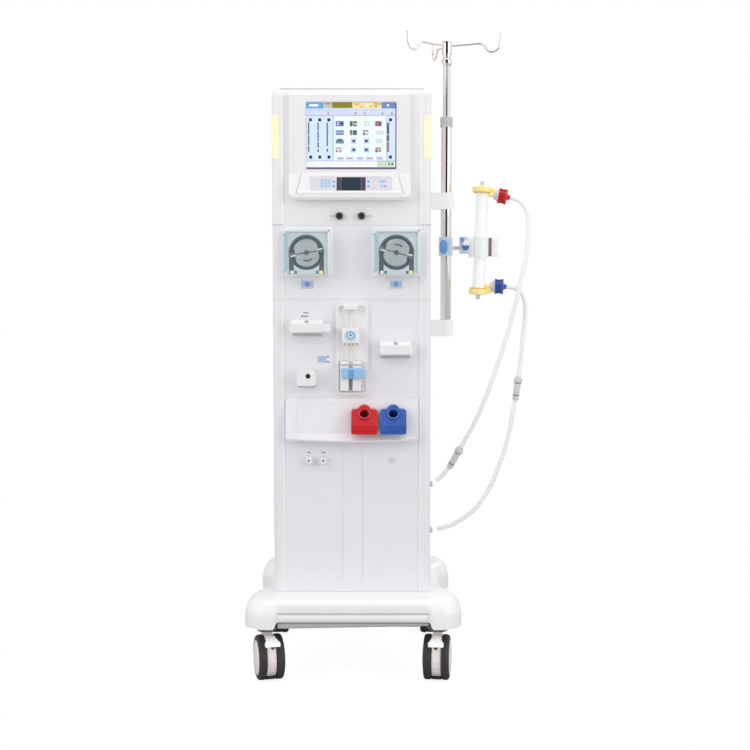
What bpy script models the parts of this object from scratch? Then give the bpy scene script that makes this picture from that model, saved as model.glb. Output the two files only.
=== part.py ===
"""Haemodialysis machine: a wheeled column with a touch screen, two roller pumps, a syringe
pump, line detectors, concentrate ports, an infusion pole and a dialyser on two hoses.

Lengths are metres. In the machine's own frame X runs to the viewer's right from the middle
of the column, Y runs back from the column's front and Z runs up from the floor. The empty
called machine carries that frame, and it is set so that the world's origin lies under the
middle of the object's box, with the cords left out.
"""

import math

import bmesh
import bpy
from mathutils import Matrix, Vector

for old in list(bpy.data.objects):
    bpy.data.objects.remove(old, do_unlink=True)

# Clearances
GAP = 0.0003  # between faces that touch
RUN = 0.0004  # round a shaft, and beside a part that moves
OVER = 0.002  # how far a cutter runs past what it cuts

# Column and its covers
COLUMN_WIDTH = 0.378
COLUMN_DEPTH = 0.400
COLUMN_TOP = 1.412
WALL = 0.003
CORNER = 0.012  # rounding of the column's upright corners
PILASTER = 0.026  # width of the raised strips beside the front field
FIELD = 0.004  # how far the front field lies behind the strips
FRONT_WRAP = 0.045  # how far a front panel reaches round the side
SIDE_RETURN = 0.034  # how far a side cover reaches round the back
HEAD_FLOOR = 1.092
HEAD_ROUND = 0.018
PUMP_FLOOR = 0.915
MODULE_FLOOR = 0.680

# Base
BASE_WIDTH = 0.520
BASE_FRONT = 0.098  # reach ahead of the column
BASE_REAR = 0.032  # reach behind the column
BASE_NOSE = 0.086  # reach ahead between the front lobes
WAIST_LEDGE = 0.033  # beside the column
REAR_TAPER = 0.012  # a rear lobe reaches less far out than a front one
LOBE_WIDTH = 0.096
LOBE_INNER = BASE_WIDTH / 2 - LOBE_WIDTH  # where a front lobe starts, from the middle
LOBE_ROUND = 0.056
LOBE_BACK = 0.012
WAIST_FROM = 0.100
WAIST_TO = COLUMN_DEPTH - 0.138
REAR_LOBE_FROM = COLUMN_DEPTH - 0.084
DECK_HEIGHT = 0.204
RIM_HEIGHT = 0.160
RIM_INSET = 0.033
LOBE_MIDDLE = (-0.042, COLUMN_DEPTH - 0.055)  # where the front and rear lobes hang lowest
LIP_HIGH = 0.152  # underside between the lobes
BASE_WALL = 0.004
GROOVE_HEIGHT = 0.171
GROOVE = 0.003

# Casters
CASTER_INSET = 0.051  # from the base's side
CASTER_X = BASE_WIDTH / 2 - CASTER_INSET
FRONT_CASTER_Y = -0.002
REAR_CASTER_Y = COLUMN_DEPTH - 0.059
CASTER_TRAIL = 0.036
WHEEL_RADIUS = 0.055
WHEEL_SIDES = 20
WHEEL_WIDTH = 0.019
HUB_DOME = 0.004
CHEEK_WIDTH = 0.022
CHEEK_RADIUS = 0.047
AXLE_RADIUS = 0.005
STEM_RADIUS = 0.0055
COLLAR_RADIUS = 0.024
COLLAR_HEIGHT = 0.020
PEDAL_REACH = 0.058  # ahead of the axle
PEDAL_WIDTH = 0.037
LEFT_CASTER_YAW = math.radians(14)
RIGHT_CASTER_YAW = math.radians(-6)
LIP_LOW = 2 * WHEEL_RADIUS + 0.002 + COLLAR_HEIGHT  # underside of the lobes

# Steel chassis
RAIL_WIDTH = 0.034
RAIL_LOW = 0.158
POST = 0.025
POST_ROUND = 0.009
POST_TOP = 1.335
SHELF_THICK = 0.004
LOWER_SHELF = 0.232
MIDDLE_SHELF = 0.602

# Head: bezel, screen and lamps
BEZEL_LEFT = -0.148
BEZEL_RIGHT = 0.140
BEZEL_TOP = 1.400
BEZEL_LOW = 1.150
BEZEL_PROUD = 0.009
CHIN_PROUD = 0.027
CHIN_TOP = 1.214
CHIN_LOW = 1.162
SCREEN_LEFT = -0.107
SCREEN_RIGHT = 0.106
SCREEN_LOW = 1.222
SCREEN_TOP = 1.379
SCREEN_DEPTH = 0.004
LAMP_LOW = 1.249
LAMP_TOP = 1.349
LAMP_WIDTH = 0.019
LAMP_THICK = 0.0022

# Roller pumps
PUMP_X = 0.106
PUMP_HEIGHT = 1.0265
PUMP_WIDTH = 0.104
PUMP_TALL = 0.102
PUMP_PROUD = 0.034
RACE_RADIUS = 0.041
RACE_DEPTH = 0.024
LEG_WIDTH = 0.011
ROTOR_RADIUS = 0.033
ROTOR_FLAT = 0.027
ROTOR_THICK = 0.017
ROLLER_RADIUS = 0.005
SHAFT_RADIUS = 0.005
MOTOR_RADIUS = 0.028
MOTOR_BACK = 0.112
COVER_THICK = 0.004
COVER_REACH = 0.004  # how far the cover stands past its pump
HINGE_TALL = 0.080
HINGE_RADIUS = 0.0035
LEFT_ROTOR_ANGLE = math.radians(6)
RIGHT_ROTOR_ANGLE = math.radians(160)

# Syringe pump
TRAY_X = 0.001
TRAY_WIDTH = 0.078
TRAY_LOW = 0.686
TRAY_TOP = 0.9065
TRAY_LIP = 0.004
TRAY_DEPTH = 0.026
ROD_X = -0.0025
ROD_RADIUS = 0.0065
ROD_Y = 0.004
CARRIAGE_LOW = 0.811
CARRIAGE_TALL = 0.036
CARRIAGE_WIDTH = 0.042
BUTTON_RADIUS = 0.0104
BUTTON_PROUD = 0.004
SEAT_TOP = 0.768
SEAT_LOW = 0.697
SEAT_WIDTH = 0.050
CLAMP_LOW = 0.728
CLAMP_TALL = 0.025
CLAMP_WIDTH = 0.060
CLAMP_THICK = 0.011

# Detectors and line clamp
AIR_LEFT = -0.143
AIR_RIGHT = -0.069
AIR_LOW = 0.837
AIR_TOP = 0.868
AIR_TAB = -0.050
LINE_LEFT = 0.067
LINE_RIGHT = 0.142
LINE_LOW = 0.784
LINE_TOP = 0.816
BLOCK_PROUD = 0.034
DOOR_THICK = 0.006
DOOR_HINGE = 0.003
TUBE_SLOT = 0.008
EYE_X = -0.1085
EYE_HEIGHT = 0.729
EYE_WIDTH = 0.045
EYE_TALL = 0.038
EYE_PROUD = 0.026
EYE_HOLE = 0.006

# Concentrate shelf and ports
SHELF_TOP = 0.677
SHELF_LOW = 0.579
SHELF_PROUD = 0.024
SHELF_BULGE = 0.010
PORT_WIDTH = 0.062
PORT_LOW = 0.598
PORT_TALL = 0.056
PORT_PROUD = 0.034
PORT_BORE = 0.0115
ACID_X = 0.030
BICARBONATE_X = 0.099
PORT_MOUTH_RISE = 0.044  # of the bore's mouth above the port's foot
PORT_TILT = math.radians(48)

# Sampling and pressure ports
SAMPLE_X = (-0.104, -0.069)
SAMPLE_DROP = 0.051  # below the concentrate shelf
SAMPLE_HEIGHT = SHELF_LOW - SAMPLE_DROP
SAMPLE_RADIUS = 0.0096
SAMPLE_PROUD = 0.016
PRESSURE_X = (-0.029, 0.0235)
PRESSURE_HEIGHT = 1.113
PRESSURE_RADIUS = 0.0085
PRESSURE_PROUD = 0.008

# Pole, hooks and brackets
POLE_X = 0.232
POLE_Y = 0.158
POLE_RADIUS = 0.013
POLE_BORE = 0.0098
POLE_LOW = 0.822
POLE_COLLAR = 1.334
COLLAR_TALL = 0.025
INNER_LOW = 0.960
INNER_RADIUS = 0.0094
INNER_TOP = 1.543
BALL_HEIGHT = 1.4925
BALL_RADIUS = 0.0135
HUB_TALL = 0.033
HUB_RADIUS = 0.0125
HOOK_LENGTH = 0.135
HOOK_WIRE = 0.0025
HOOK_DIP = 1.5125
HOOK_ROUND = 0.0185  # radius of a hook's dip
HOOK_TIP = 1.556
HOOK_HEADING = math.radians(-17.4)
BRACKET_REACH = 0.0185
BRACKETS = ((0.818, 0.858), (1.133, 1.173))
PLATE_THICK = 0.004
PLATE_WIDTH = 0.040
PLATE_LOW = 0.800
PLATE_TOP = 1.196

# Dialyser and its holder
HOLDER_HEIGHT = 1.037
CLAMP_FLOOR = HOLDER_HEIGHT - 0.020
CLAMP_BLOCK_TALL = 0.047
KNOB_HEIGHT = HOLDER_HEIGHT + 0.0025
ROD_WIRE = 0.0043
JOINT_LEFT = 0.266
JOINT_RIGHT = 0.291
JOINT_LOW = HOLDER_HEIGHT - 0.015
JOINT_TOP = HOLDER_HEIGHT + 0.027
DIALYSER_X = 0.3165
DIALYSER_LEAN = math.radians(1.9)
DIALYSER_RADIUS = 0.0165
DIALYSER_LOW = HOLDER_HEIGHT - 0.107
DIALYSER_TOP = HOLDER_HEIGHT + 0.144
CAP_RADIUS = 0.0245
CAP_TALL = 0.016
CLIP_LOW = HOLDER_HEIGHT - 0.023
CLIP_TALL = 0.050
CLIP_WALL = 0.004
HANDLE_REACH = 0.0445
SIDE_PORTS = {
    "top": (HOLDER_HEIGHT + 0.1365, math.radians(-8)),
    "bottom": (HOLDER_HEIGHT - 0.094, 0.0),
}
SIDE_PORT_RADIUS = 0.006
SIDE_PORT_REACH = 0.037

# Hoses
HOSE_RADIUS = 0.0055
RED_PORT_HEIGHT = 0.443
BLUE_PORT_HEIGHT = 0.325
FITTING_REACH = 0.012
FITTING_RADIUS = 0.009
CONNECTOR_LENGTH = 0.025
CONNECTOR_TAIL = 0.008
COUPLING_RADIUS = 0.0085
COUPLING_LENGTH = 0.046
RED_COUPLING_AT = 0.844  # share of the hose's length, from the dialyser
BLUE_COUPLING_AT = 0.484

# Where the machine's frame lies in the world
HOOK_RIGHT = POLE_X + HOOK_LENGTH * math.cos(HOOK_HEADING) + HOOK_WIRE
MACHINE = bpy.data.objects.new("machine", None)
MACHINE.location = (
    (BASE_WIDTH / 2 - HOOK_RIGHT) / 2,
    (BASE_FRONT - COLUMN_DEPTH - BASE_REAR) / 2,
    0.0,
)
bpy.context.scene.collection.objects.link(MACHINE)


def finish(name, colour, roughness, metallic=0.0, alpha=1.0):
    """Principled material from an sRGB colour of 0 to 255."""
    made = bpy.data.materials.new(name)
    made.use_nodes = True
    shader = made.node_tree.nodes["Principled BSDF"]
    linear = [(channel / 255) ** 2.2 for channel in colour]
    shader.inputs["Base Color"].default_value = (*linear, 1.0)
    shader.inputs["Roughness"].default_value = roughness
    shader.inputs["Metallic"].default_value = metallic
    shader.inputs["Alpha"].default_value = alpha
    made.diffuse_color = (*linear, alpha)
    return made


WHITE = finish("white_plastic", (236, 236, 238), 0.35)
GREY_WHITE = finish("grey_white_plastic", (222, 220, 226), 0.4)
STEEL = finish("polished_steel", (200, 196, 192), 0.15, 1.0)
PAINTED_STEEL = finish("painted_steel", (130, 128, 128), 0.45, 0.6)
ZINC = finish("zinc", (165, 150, 142), 0.4, 0.8)
TYRE = finish("tyre", (50, 48, 50), 0.7)
GLASS = finish("screen_glass", (190, 205, 235), 0.1)
LAMP = finish("lamp_yellow", (250, 240, 185), 0.3)
DARK = finish("dark_fitting", (60, 60, 62), 0.4)
TEAL = finish("pump_teal", (150, 178, 184), 0.3)
ROTOR = finish("rotor_grey", (176, 186, 186), 0.3, 0.4)
CLEAR = finish("clear_cover", (200, 228, 230), 0.1, 0.0, 0.35)
PALE_BLUE = finish("pale_blue_plastic", (150, 195, 235), 0.35)
BLUE = finish("blue_plastic", (45, 78, 160), 0.35)
RED = finish("red_plastic", (208, 32, 38), 0.35)
CAP = finish("cap_yellow", (245, 215, 110), 0.3)
HOSE = finish("hose", (225, 226, 226), 0.3, 0.0, 0.8)


def fillet(corners, radius=0.0, steps=4):
    """Closed outline of the corners, each rounded; a corner may carry its own radius."""
    outline = []
    for index, corner in enumerate(corners):
        here = Vector(corner[:2])
        back = Vector(corners[index - 1][:2]) - here
        ahead = Vector(corners[(index + 1) % len(corners)][:2]) - here
        wanted = corner[2] if len(corner) > 2 else radius
        if wanted <= 0:
            outline.append(tuple(here))
            continue
        half = back.angle(ahead) / 2
        reach = min(wanted / math.tan(half), 0.48 * back.length, 0.48 * ahead.length)
        own = reach * math.tan(half)
        middle = (back.normalized() + ahead.normalized()).normalized()
        centre = here + middle * own / math.sin(half)
        spoke = here + back.normalized() * reach - centre
        last = here + ahead.normalized() * reach - centre
        sweep = math.atan2(spoke.cross(last), spoke.dot(last))
        for step in range(steps + 1):
            turn = Matrix.Rotation(sweep * step / steps, 2)
            outline.append(tuple(centre + turn @ spoke))
    return outline


def rectangle(left, right, low, high, radius=0.0, steps=3):
    """Outline of a rectangle with round corners."""
    corners = [(left, low), (right, low), (right, high), (left, high)]
    return fillet(corners, radius, steps)


def arc(centre, radius, start, end, steps):
    """Points along an arc, with angles in degrees."""
    points = []
    for step in range(steps + 1):
        angle = math.radians(start + (end - start) * step / steps)
        points.append((centre[0] + radius * math.cos(angle), centre[1] + radius * math.sin(angle)))
    return points


def inset(outline, distance):
    """A closed outline moved inward along the mean of its sides' normals."""
    moved = []
    for index, point in enumerate(outline):
        here = Vector(point)
        before = (here - Vector(outline[index - 1])).normalized()
        after = (Vector(outline[(index + 1) % len(outline)]) - here).normalized()
        along = (before + after).normalized()
        inward = Vector((-along.y, along.x))
        moved.append(tuple(here + inward * distance / max(0.5, along.dot(after))))
    return moved


def lift(outline, height):
    """An outline in plan as a ring at one height."""
    return [(x, y, height) for x, y in outline]


def prism(outline, low, high, along="Z"):
    """Closed shape: an outline pushed from low to high along an axis."""
    order = {"X": (2, 0, 1), "Y": (0, 2, 1), "Z": (0, 1, 2)}[along]
    shape = bmesh.new()
    ring = []
    for u, v in outline:
        point = (u, v, low)
        ring.append(shape.verts.new([point[slot] for slot in order]))
    face = shape.faces.new(ring)
    grown = bmesh.ops.extrude_face_region(shape, geom=[face])["geom"]
    far = [item for item in grown if isinstance(item, bmesh.types.BMVert)]
    step = (0.0, 0.0, high - low)
    bmesh.ops.translate(shape, verts=far, vec=[step[slot] for slot in order])
    bmesh.ops.recalc_face_normals(shape, faces=shape.faces)
    return shape


def block(x, y, z, edge=0.0, steps=2):
    """Box between two corners, with all its edges rounded when edge is given."""
    shape = prism([(x[0], y[0]), (x[1], y[0]), (x[1], y[1]), (x[0], y[1])], z[0], z[1])
    if edge:
        bmesh.ops.bevel(
            shape, geom=shape.edges[:], offset=edge, segments=steps, profile=0.5, affect="EDGES"
        )
    return shape


def loft(rings):
    """Closed shape through rings of equally many points, with both ends filled."""
    shape = bmesh.new()
    loops = [[shape.verts.new(point) for point in ring] for ring in rings]
    for low, high in zip(loops, loops[1:]):
        for index in range(len(low)):
            shape.faces.new((low[index - 1], low[index], high[index], high[index - 1]))
    shape.faces.new(loops[0])
    shape.faces.new(loops[-1])
    bmesh.ops.recalc_face_normals(shape, faces=shape.faces)
    return shape


def turned(profile, centre, along=(0, 0, 1), sides=16, hollow=False, phase=0.0):
    """Solid of revolution of (radius, height) points round an axis through centre."""
    shape = bmesh.new()
    points = [shape.verts.new((radius, 0, height)) for radius, height in profile]
    edges = [shape.edges.new(pair) for pair in zip(points, points[1:])]
    if hollow:
        edges.append(shape.edges.new((points[-1], points[0])))
    bmesh.ops.spin(
        shape, geom=points + edges, axis=(0, 0, 1), cent=(0, 0, 0), angle=2 * math.pi, steps=sides
    )
    bmesh.ops.remove_doubles(shape, verts=shape.verts, dist=1e-6)
    bmesh.ops.recalc_face_normals(shape, faces=shape.faces)
    aim = Vector((0, 0, 1)).rotation_difference(Vector(along)).to_matrix().to_4x4()
    place = Matrix.Translation(centre) @ aim @ Matrix.Rotation(phase, 4, "Z")
    bmesh.ops.transform(shape, matrix=place, verts=shape.verts)
    return shape


def rod(centre, along, start, end, radius, sides=12):
    """Plain cylinder along a direction, from start to end of its centre."""
    return turned([(0, start), (radius, start), (radius, end), (0, end)], centre, along, sides)


def swept(path, radius, sides=8):
    """Round bar along a path, with flat ends."""
    points = [Vector(point) for point in path]
    heading = (points[1] - points[0]).normalized()
    spoke = heading.orthogonal().normalized() * radius
    rings = []
    for index, point in enumerate(points):
        before = points[max(index - 1, 0)]
        after = points[min(index + 1, len(points) - 1)]
        turned_to = (after - before).normalized()
        spoke = heading.rotation_difference(turned_to) @ spoke
        heading = turned_to
        ring = []
        for side in range(sides):
            turn = Matrix.Rotation(2 * math.pi * side / sides, 3, heading)
            ring.append(tuple(point + turn @ spoke))
        rings.append(ring)
    return loft(rings)


def smooth(points, spacing):
    """A smooth curve through the points, read off about every spacing metres."""
    ends = [2 * Vector(points[0]) - Vector(points[1]), 2 * Vector(points[-1]) - Vector(points[-2])]
    knots = [ends[0]] + [Vector(point) for point in points] + [ends[1]]
    fine = []
    for index in range(1, len(knots) - 2):
        a, b, c, d = knots[index - 1 : index + 3]
        for step in range(12):
            t = step / 12
            bend = 2 * b + (c - a) * t + (2 * a - 5 * b + 4 * c - d) * t * t
            fine.append((bend + (3 * b - a - 3 * c + d) * t**3) / 2)
    fine.append(knots[-2])
    length = sum((after - before).length for before, after in zip(fine, fine[1:]))
    pieces = max(2, round(length / spacing))
    read = [fine[0]]
    run = 0.0
    for before, after in zip(fine, fine[1:]):
        run += (after - before).length
        if run >= length * len(read) / pieces - 1e-9 and len(read) < pieces:
            read.append(after)
    read.append(fine[-1])
    return [tuple(point) for point in read]


def mesh_object(name, shape, material, parent):
    mesh = bpy.data.meshes.new(name)
    shape.to_mesh(mesh)
    shape.free()
    mesh.shade_smooth()
    mesh.set_sharp_from_angle(angle=math.radians(32))
    mesh.materials.append(material)
    made = bpy.data.objects.new(name, mesh)
    bpy.context.scene.collection.objects.link(made)
    made.parent = parent
    return made


def node(name, shape, material, pivot=None, parent=MACHINE):
    """A sub-part. Its origin goes to pivot, the point that its joint's axis runs through."""
    made = mesh_object(name, shape, material, parent)
    if pivot:
        made.data.transform(Matrix.Translation(-Vector(pivot)))
        made.location = pivot
    return made


def guide(owner, shape, operation):
    """Cuts a shape from a sub-part or joins it to one, and keeps the shape out of the model."""
    name = f"guide_{owner.name}_{len(owner.modifiers)}"
    made = mesh_object(name, shape, owner.data.materials[0], owner.parent)
    made.hide_render = True
    made.display_type = "WIRE"
    step = owner.modifiers.new(name, "BOOLEAN")
    step.operation = operation
    step.solver = "EXACT"
    step.object = made


def cut(owner, *shapes):
    for shape in shapes:
        guide(owner, shape, "DIFFERENCE")


def fuse(owner, *shapes):
    for shape in shapes:
        guide(owner, shape, "UNION")


def empty(name, place, turn):
    made = bpy.data.objects.new(name, None)
    made.location = place
    made.rotation_euler = turn
    made.parent = MACHINE
    bpy.context.scene.collection.objects.link(made)
    return made


# Plan of the column's front: raised strips at both sides of a lower field
HALF = COLUMN_WIDTH / 2
FIELD_HALF = HALF - PILASTER
INNER_HALF = HALF - WALL
FRONT_BACK = FIELD + WALL  # the back of a front panel


def front_corners():
    """The front's outline from its left side to its right side."""
    step = FIELD
    left = [(-HALF, 0, CORNER), (-FIELD_HALF, 0, FIELD), (-FIELD_HALF + step, FIELD, FIELD)]
    right = [(-x, y, radius) for x, y, radius in reversed(left)]
    return left + right


def front_panel(name, low, high, cuts):
    """A moulded front panel that wraps round both corners of the column."""
    outside = [(-HALF, FRONT_WRAP, 0)] + front_corners() + [(HALF, FRONT_WRAP, 0)]
    inside = [
        (INNER_HALF, FRONT_WRAP, 0),
        (INNER_HALF, FRONT_BACK, WALL),
        (-INNER_HALF, FRONT_BACK, WALL),
        (-INNER_HALF, FRONT_WRAP, 0),
    ]
    panel = node(
        name,
        prism(fillet(outside + inside, 0), low + GAP / 2, high - GAP / 2),
        GREY_WHITE,
    )
    cut(panel, *cuts)
    return panel


def base_outline():
    """Plan of the base: two lobes in front, a waist and two lobes behind."""
    wide = BASE_WIDTH / 2
    waist = COLUMN_WIDTH / 2 + WAIST_LEDGE
    rear = wide - REAR_TAPER
    back = COLUMN_DEPTH + BASE_REAR
    side = [
        (LOBE_INNER, -BASE_NOSE, 0.010),
        (LOBE_INNER + 0.022, -BASE_FRONT, 0.020),
        (wide, -BASE_FRONT, LOBE_ROUND),
        (wide, LOBE_BACK, 0.050),
        (waist, WAIST_FROM, 0.070),
        (waist, WAIST_TO, 0.060),
        (rear, REAR_LOBE_FROM, 0.050),
        (rear, back, LOBE_ROUND),
    ]
    mirrored = [(-x, y, radius) for x, y, radius in reversed(side)]
    return fillet(side + mirrored, 0, steps=4)


def lip_height(x, y):
    """Underside of the base: low round each caster and higher between them."""
    near = min(math.hypot(abs(x) - CASTER_X, y - spot) for spot in LOBE_MIDDLE)
    share = min(1.0, max(0.0, (near - 0.075) / 0.022))
    if y < LOBE_BACK:
        share = max(share, min(1.0, (LOBE_INNER + 0.022 - abs(x)) / 0.018))
    share = share * share * (3 - 2 * share)
    return LIP_LOW + (LIP_HIGH - LIP_LOW) * share


def base_cover():
    """Moulded base cover, open underneath, with an opening in its deck for the posts."""
    plan = base_outline()
    rise = DECK_HEIGHT - RIM_HEIGHT
    steps = 4
    rounding = []
    for step in range(steps + 1):
        angle = math.pi / 2 * step / steps
        rounding.append((RIM_INSET * (1 - math.cos(angle)), RIM_HEIGHT + rise * math.sin(angle)))
    outside = [lift(inset(plan, away), height) for away, height in rounding]
    inside = []
    for away, height in rounding[::2]:
        inside.append(lift(inset(plan, away + BASE_WALL), height - BASE_WALL))
    outer_lip = [(x, y, lip_height(x, y)) for x, y in plan]
    inner_lip = []
    for (x, y), (outer_x, outer_y) in zip(inset(plan, BASE_WALL), plan):
        inner_lip.append((x, y, lip_height(outer_x, outer_y)))
    shell = loft(inside[::-1] + [inner_lip, outer_lip] + outside)
    cover = node("base_cover", shell, WHITE)
    opening = INNER_HALF + GAP
    cut(
        cover,
        block((-opening, opening), (FIELD, COLUMN_DEPTH - WALL), (RIM_HEIGHT, DECK_HEIGHT + OVER)),
        block(
            (-LOBE_INNER, LOBE_INNER),
            (-BASE_NOSE - OVER, -BASE_NOSE + GROOVE),
            (GROOVE_HEIGHT, GROOVE_HEIGHT + GROOVE),
        ),
    )


def chassis():
    """Welded steel frame: rails and caster sockets in the base, four posts and their ties."""
    rail_top = DECK_HEIGHT - BASE_WALL - GAP
    outer = INNER_HALF - GAP
    post_front = FRONT_BACK + GAP
    post_back = COLUMN_DEPTH - WALL - GAP
    rail_front = FRONT_CASTER_Y - 0.004
    rail = (rail_front, post_back), (RAIL_LOW, rail_top)
    frame = node("chassis", block((outer - RAIL_WIDTH, outer), *rail), PAINTED_STEEL)
    fuse(frame, block((-outer, RAIL_WIDTH - outer), *rail))
    cross = outer - 0.010
    for y in (rail_front + 0.002, post_back - 0.032):
        fuse(frame, block((-cross, cross), (y, y + 0.030), (RAIL_LOW + 0.002, rail_top - 0.002)))
    socket_low = LIP_LOW + GAP
    for side in (-1, 1):
        for y in (FRONT_CASTER_Y, REAR_CASTER_Y):
            arm = sorted((side * (outer - RAIL_WIDTH + 0.004), side * CASTER_X))
            fuse(
                frame,
                block(arm, (y - 0.014, y + 0.014), (RAIL_LOW + 0.004, rail_top - 0.004)),
                rod((side * CASTER_X, y, 0), (0, 0, 1), socket_low, rail_top - 0.014, 0.019, 12),
            )
        for y in (post_front, post_back - POST):
            left, right = sorted((side * outer, side * (outer - POST)))
            section = rectangle(left, right, y, y + POST, POST_ROUND, 2)
            fuse(frame, prism(section, rail_top - 0.010, POST_TOP))
        tie = sorted((side * (outer - 0.002), side * (outer - 0.014)))
        for height in (PUMP_FLOOR - 0.020, POST_TOP - 0.016):
            fuse(
                frame,
                block(tie, (post_front + 0.010, post_back - 0.010), (height, height + 0.014)),
            )
    for y in (post_front + 0.012, post_back - 0.021):
        fuse(frame, block((-cross, cross), (y, y + 0.009), (POST_TOP - 0.019, POST_TOP - 0.003)))
    tray = outer - 0.010
    for height in (LOWER_SHELF, MIDDLE_SHELF):
        fuse(
            frame,
            block(
                (-tray, tray),
                (post_front + 0.040, post_back - 0.010),
                (height - SHELF_THICK, height),
            ),
        )
    bumper_top = LIP_HIGH - 0.0005
    fuse(
        frame,
        block(
            (-LOBE_INNER + 0.004, LOBE_INNER - 0.004),
            (-BASE_NOSE + 0.012, rail_front + 0.010),
            (0.138, bumper_top),
        ),
        block(
            (-0.060, 0.060),
            (rail_front - 0.002, rail_front + 0.012),
            (bumper_top - 0.006, RAIL_LOW + 0.010),
        ),
    )
    for side in (-1, 1):
        for y in (FRONT_CASTER_Y, REAR_CASTER_Y):
            cut(
                frame,
                rod(
                    (side * CASTER_X, y, 0),
                    (0, 0, 1),
                    LIP_LOW - 0.01,
                    RAIL_LOW + 0.022,
                    STEM_RADIUS + RUN,
                    12,
                ),
            )


def inner_units():
    """Water circuit on the lower shelf and power supply on the middle one."""
    seat = LOWER_SHELF + GAP
    back = COLUMN_DEPTH - 0.050
    middle = (back + 0.110) / 2
    water = node(
        "hydraulic_unit",
        block((-0.125, 0.125), (0.130, back - 0.020), (seat, seat + 0.120), 0.006),
        GREY_WHITE,
    )
    for x, radius in ((-0.070, 0.045), (0.045, 0.055)):
        fuse(water, rod((x, middle, 0), (0, 0, 1), seat + 0.100, seat + 0.270, radius, 16))
    joint = (middle - 0.015, middle + 0.015)
    fuse(water, block((-0.120, 0.100), joint, (seat + 0.240, seat + 0.262)))
    seat = MIDDLE_SHELF + GAP
    power = node(
        "power_supply",
        block((-0.090, 0.110), (back - 0.150, back), (seat, seat + 0.110)),
        PAINTED_STEEL,
    )
    for slot in range(8):
        left = -0.076 + slot * 0.022
        slit = (left, left + 0.014), (back - 0.160, back + 0.010), (seat + 0.094, seat + 0.120)
        cut(power, block(*slit))


def caster(corner, x, y, yaw, way):
    """Twin-wheel caster: swivel with a cheek between the wheels, wheel pair and brake pedal.

    The wheels trail way 1 backward or way -1 forward, and a forward one has the pedal.
    """
    swivel = empty(f"caster_{corner}_swivel", (x, y, 0), (0, 0, yaw))
    axle = WHEEL_RADIUS * math.cos(math.pi / WHEEL_SIDES)
    trail = way * CASTER_TRAIL
    top = LIP_LOW - COLLAR_HEIGHT
    cheek = CHEEK_WIDTH / 2
    profile = [
        (0, top),
        (COLLAR_RADIUS - 0.003, top),
        (COLLAR_RADIUS, top + 0.003),
        (COLLAR_RADIUS, LIP_LOW),
        (STEM_RADIUS, LIP_LOW),
        (STEM_RADIUS, RAIL_LOW + 0.020),
        (0, RAIL_LOW + 0.020),
    ]
    fork = node(f"caster_{corner}_fork", turned(profile, (0, 0, 0), sides=12), ZINC, parent=swivel)
    neck = [
        (-0.019, top + 0.004),
        (-0.019, top - 0.008),
        (-0.004, axle + 0.018),
        (CASTER_TRAIL, axle),
        (CASTER_TRAIL + 0.004, axle + CHEEK_RADIUS - 0.0033),
        (0.022, top - 0.003),
        (0.020, top + 0.004),
    ]
    side_view = [(way * reach, height) for reach, height in neck]
    fuse(
        fork,
        prism(fillet(side_view, 0.003, 2), -cheek, cheek, "X"),
        rod((0, trail, axle), (1, 0, 0), -cheek + 0.0005, cheek - 0.0005, CHEEK_RADIUS, 20),
    )
    cut(
        fork,
        rod((0, trail, axle), (1, 0, 0), -cheek - OVER, cheek + OVER, AXLE_RADIUS + RUN, 12),
    )
    inner = cheek + 0.0012
    outer = inner + WHEEL_WIDTH
    half = [
        (0, outer + HUB_DOME),
        (0.020, outer + HUB_DOME - 0.001),
        (0.037, outer - 0.001),
        (0.041, outer - 0.004),
        (WHEEL_RADIUS - 0.006, outer - 0.001),
        (WHEEL_RADIUS, outer - 0.006),
        (WHEEL_RADIUS, inner + 0.002),
        (WHEEL_RADIUS - 0.002, inner),
        (AXLE_RADIUS, inner),
    ]
    other = [(radius, -across) for radius, across in reversed(half)]
    pair = turned(
        half + other,
        (0, trail, axle),
        (1, 0, 0),
        WHEEL_SIDES,
        phase=math.pi / WHEEL_SIDES,
    )
    node(f"caster_{corner}_wheels", pair, TYRE, (0, trail, axle), swivel)
    if way < 0:
        brake_pedal(corner, swivel, top, cheek)


def brake_pedal(corner, swivel, top, cheek):
    """Lever over the wheels: narrow between the tyres and wider where it is trodden on."""
    rear = -CASTER_TRAIL - 0.0035
    tip = -CASTER_TRAIL - PEDAL_REACH
    lever = [
        (rear, top - 0.0088),
        (rear, top - 0.0050),
        (rear - 0.016, top - 0.0035),
        (rear - 0.034, top - 0.0050),
        (tip + 0.002, top - 0.0110),
        (tip, top - 0.0135),
        (tip, top - 0.0180),
        (rear - 0.036, top - 0.0135),
        (rear - 0.019, top - 0.0115),
    ]
    wide = PEDAL_WIDTH / 2
    plan = [
        (-cheek, rear + OVER),
        (-cheek, rear - 0.037),
        (-wide, tip + 0.007),
        (-wide + 0.001, tip - OVER),
        (wide - 0.001, tip - OVER),
        (wide, tip + 0.007),
        (cheek, rear - 0.037),
        (cheek, rear + OVER),
    ]
    pedal = node(
        f"caster_{corner}_brake",
        prism(lever, -wide - OVER, wide + OVER, "X"),
        WHITE,
        (0, rear - 0.003, top - 0.0065),
        swivel,
    )
    guide(pedal, prism(plan, top - 0.030, top, "Z"), "INTERSECT")


def side_cover(name, side):
    """Sheet-metal side with a return round the back."""
    front = FRONT_WRAP + GAP
    corners = [
        (side * HALF, front, 0),
        (side * HALF, COLUMN_DEPTH, CORNER),
        (side * (HALF - SIDE_RETURN), COLUMN_DEPTH, 0),
        (side * (HALF - SIDE_RETURN), COLUMN_DEPTH - WALL, 0),
        (side * INNER_HALF, COLUMN_DEPTH - WALL, CORNER - WALL),
        (side * INNER_HALF, front, 0),
    ]
    return node(name, prism(fillet(corners, 0), DECK_HEIGHT + GAP, HEAD_FLOOR - GAP), WHITE)


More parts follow.
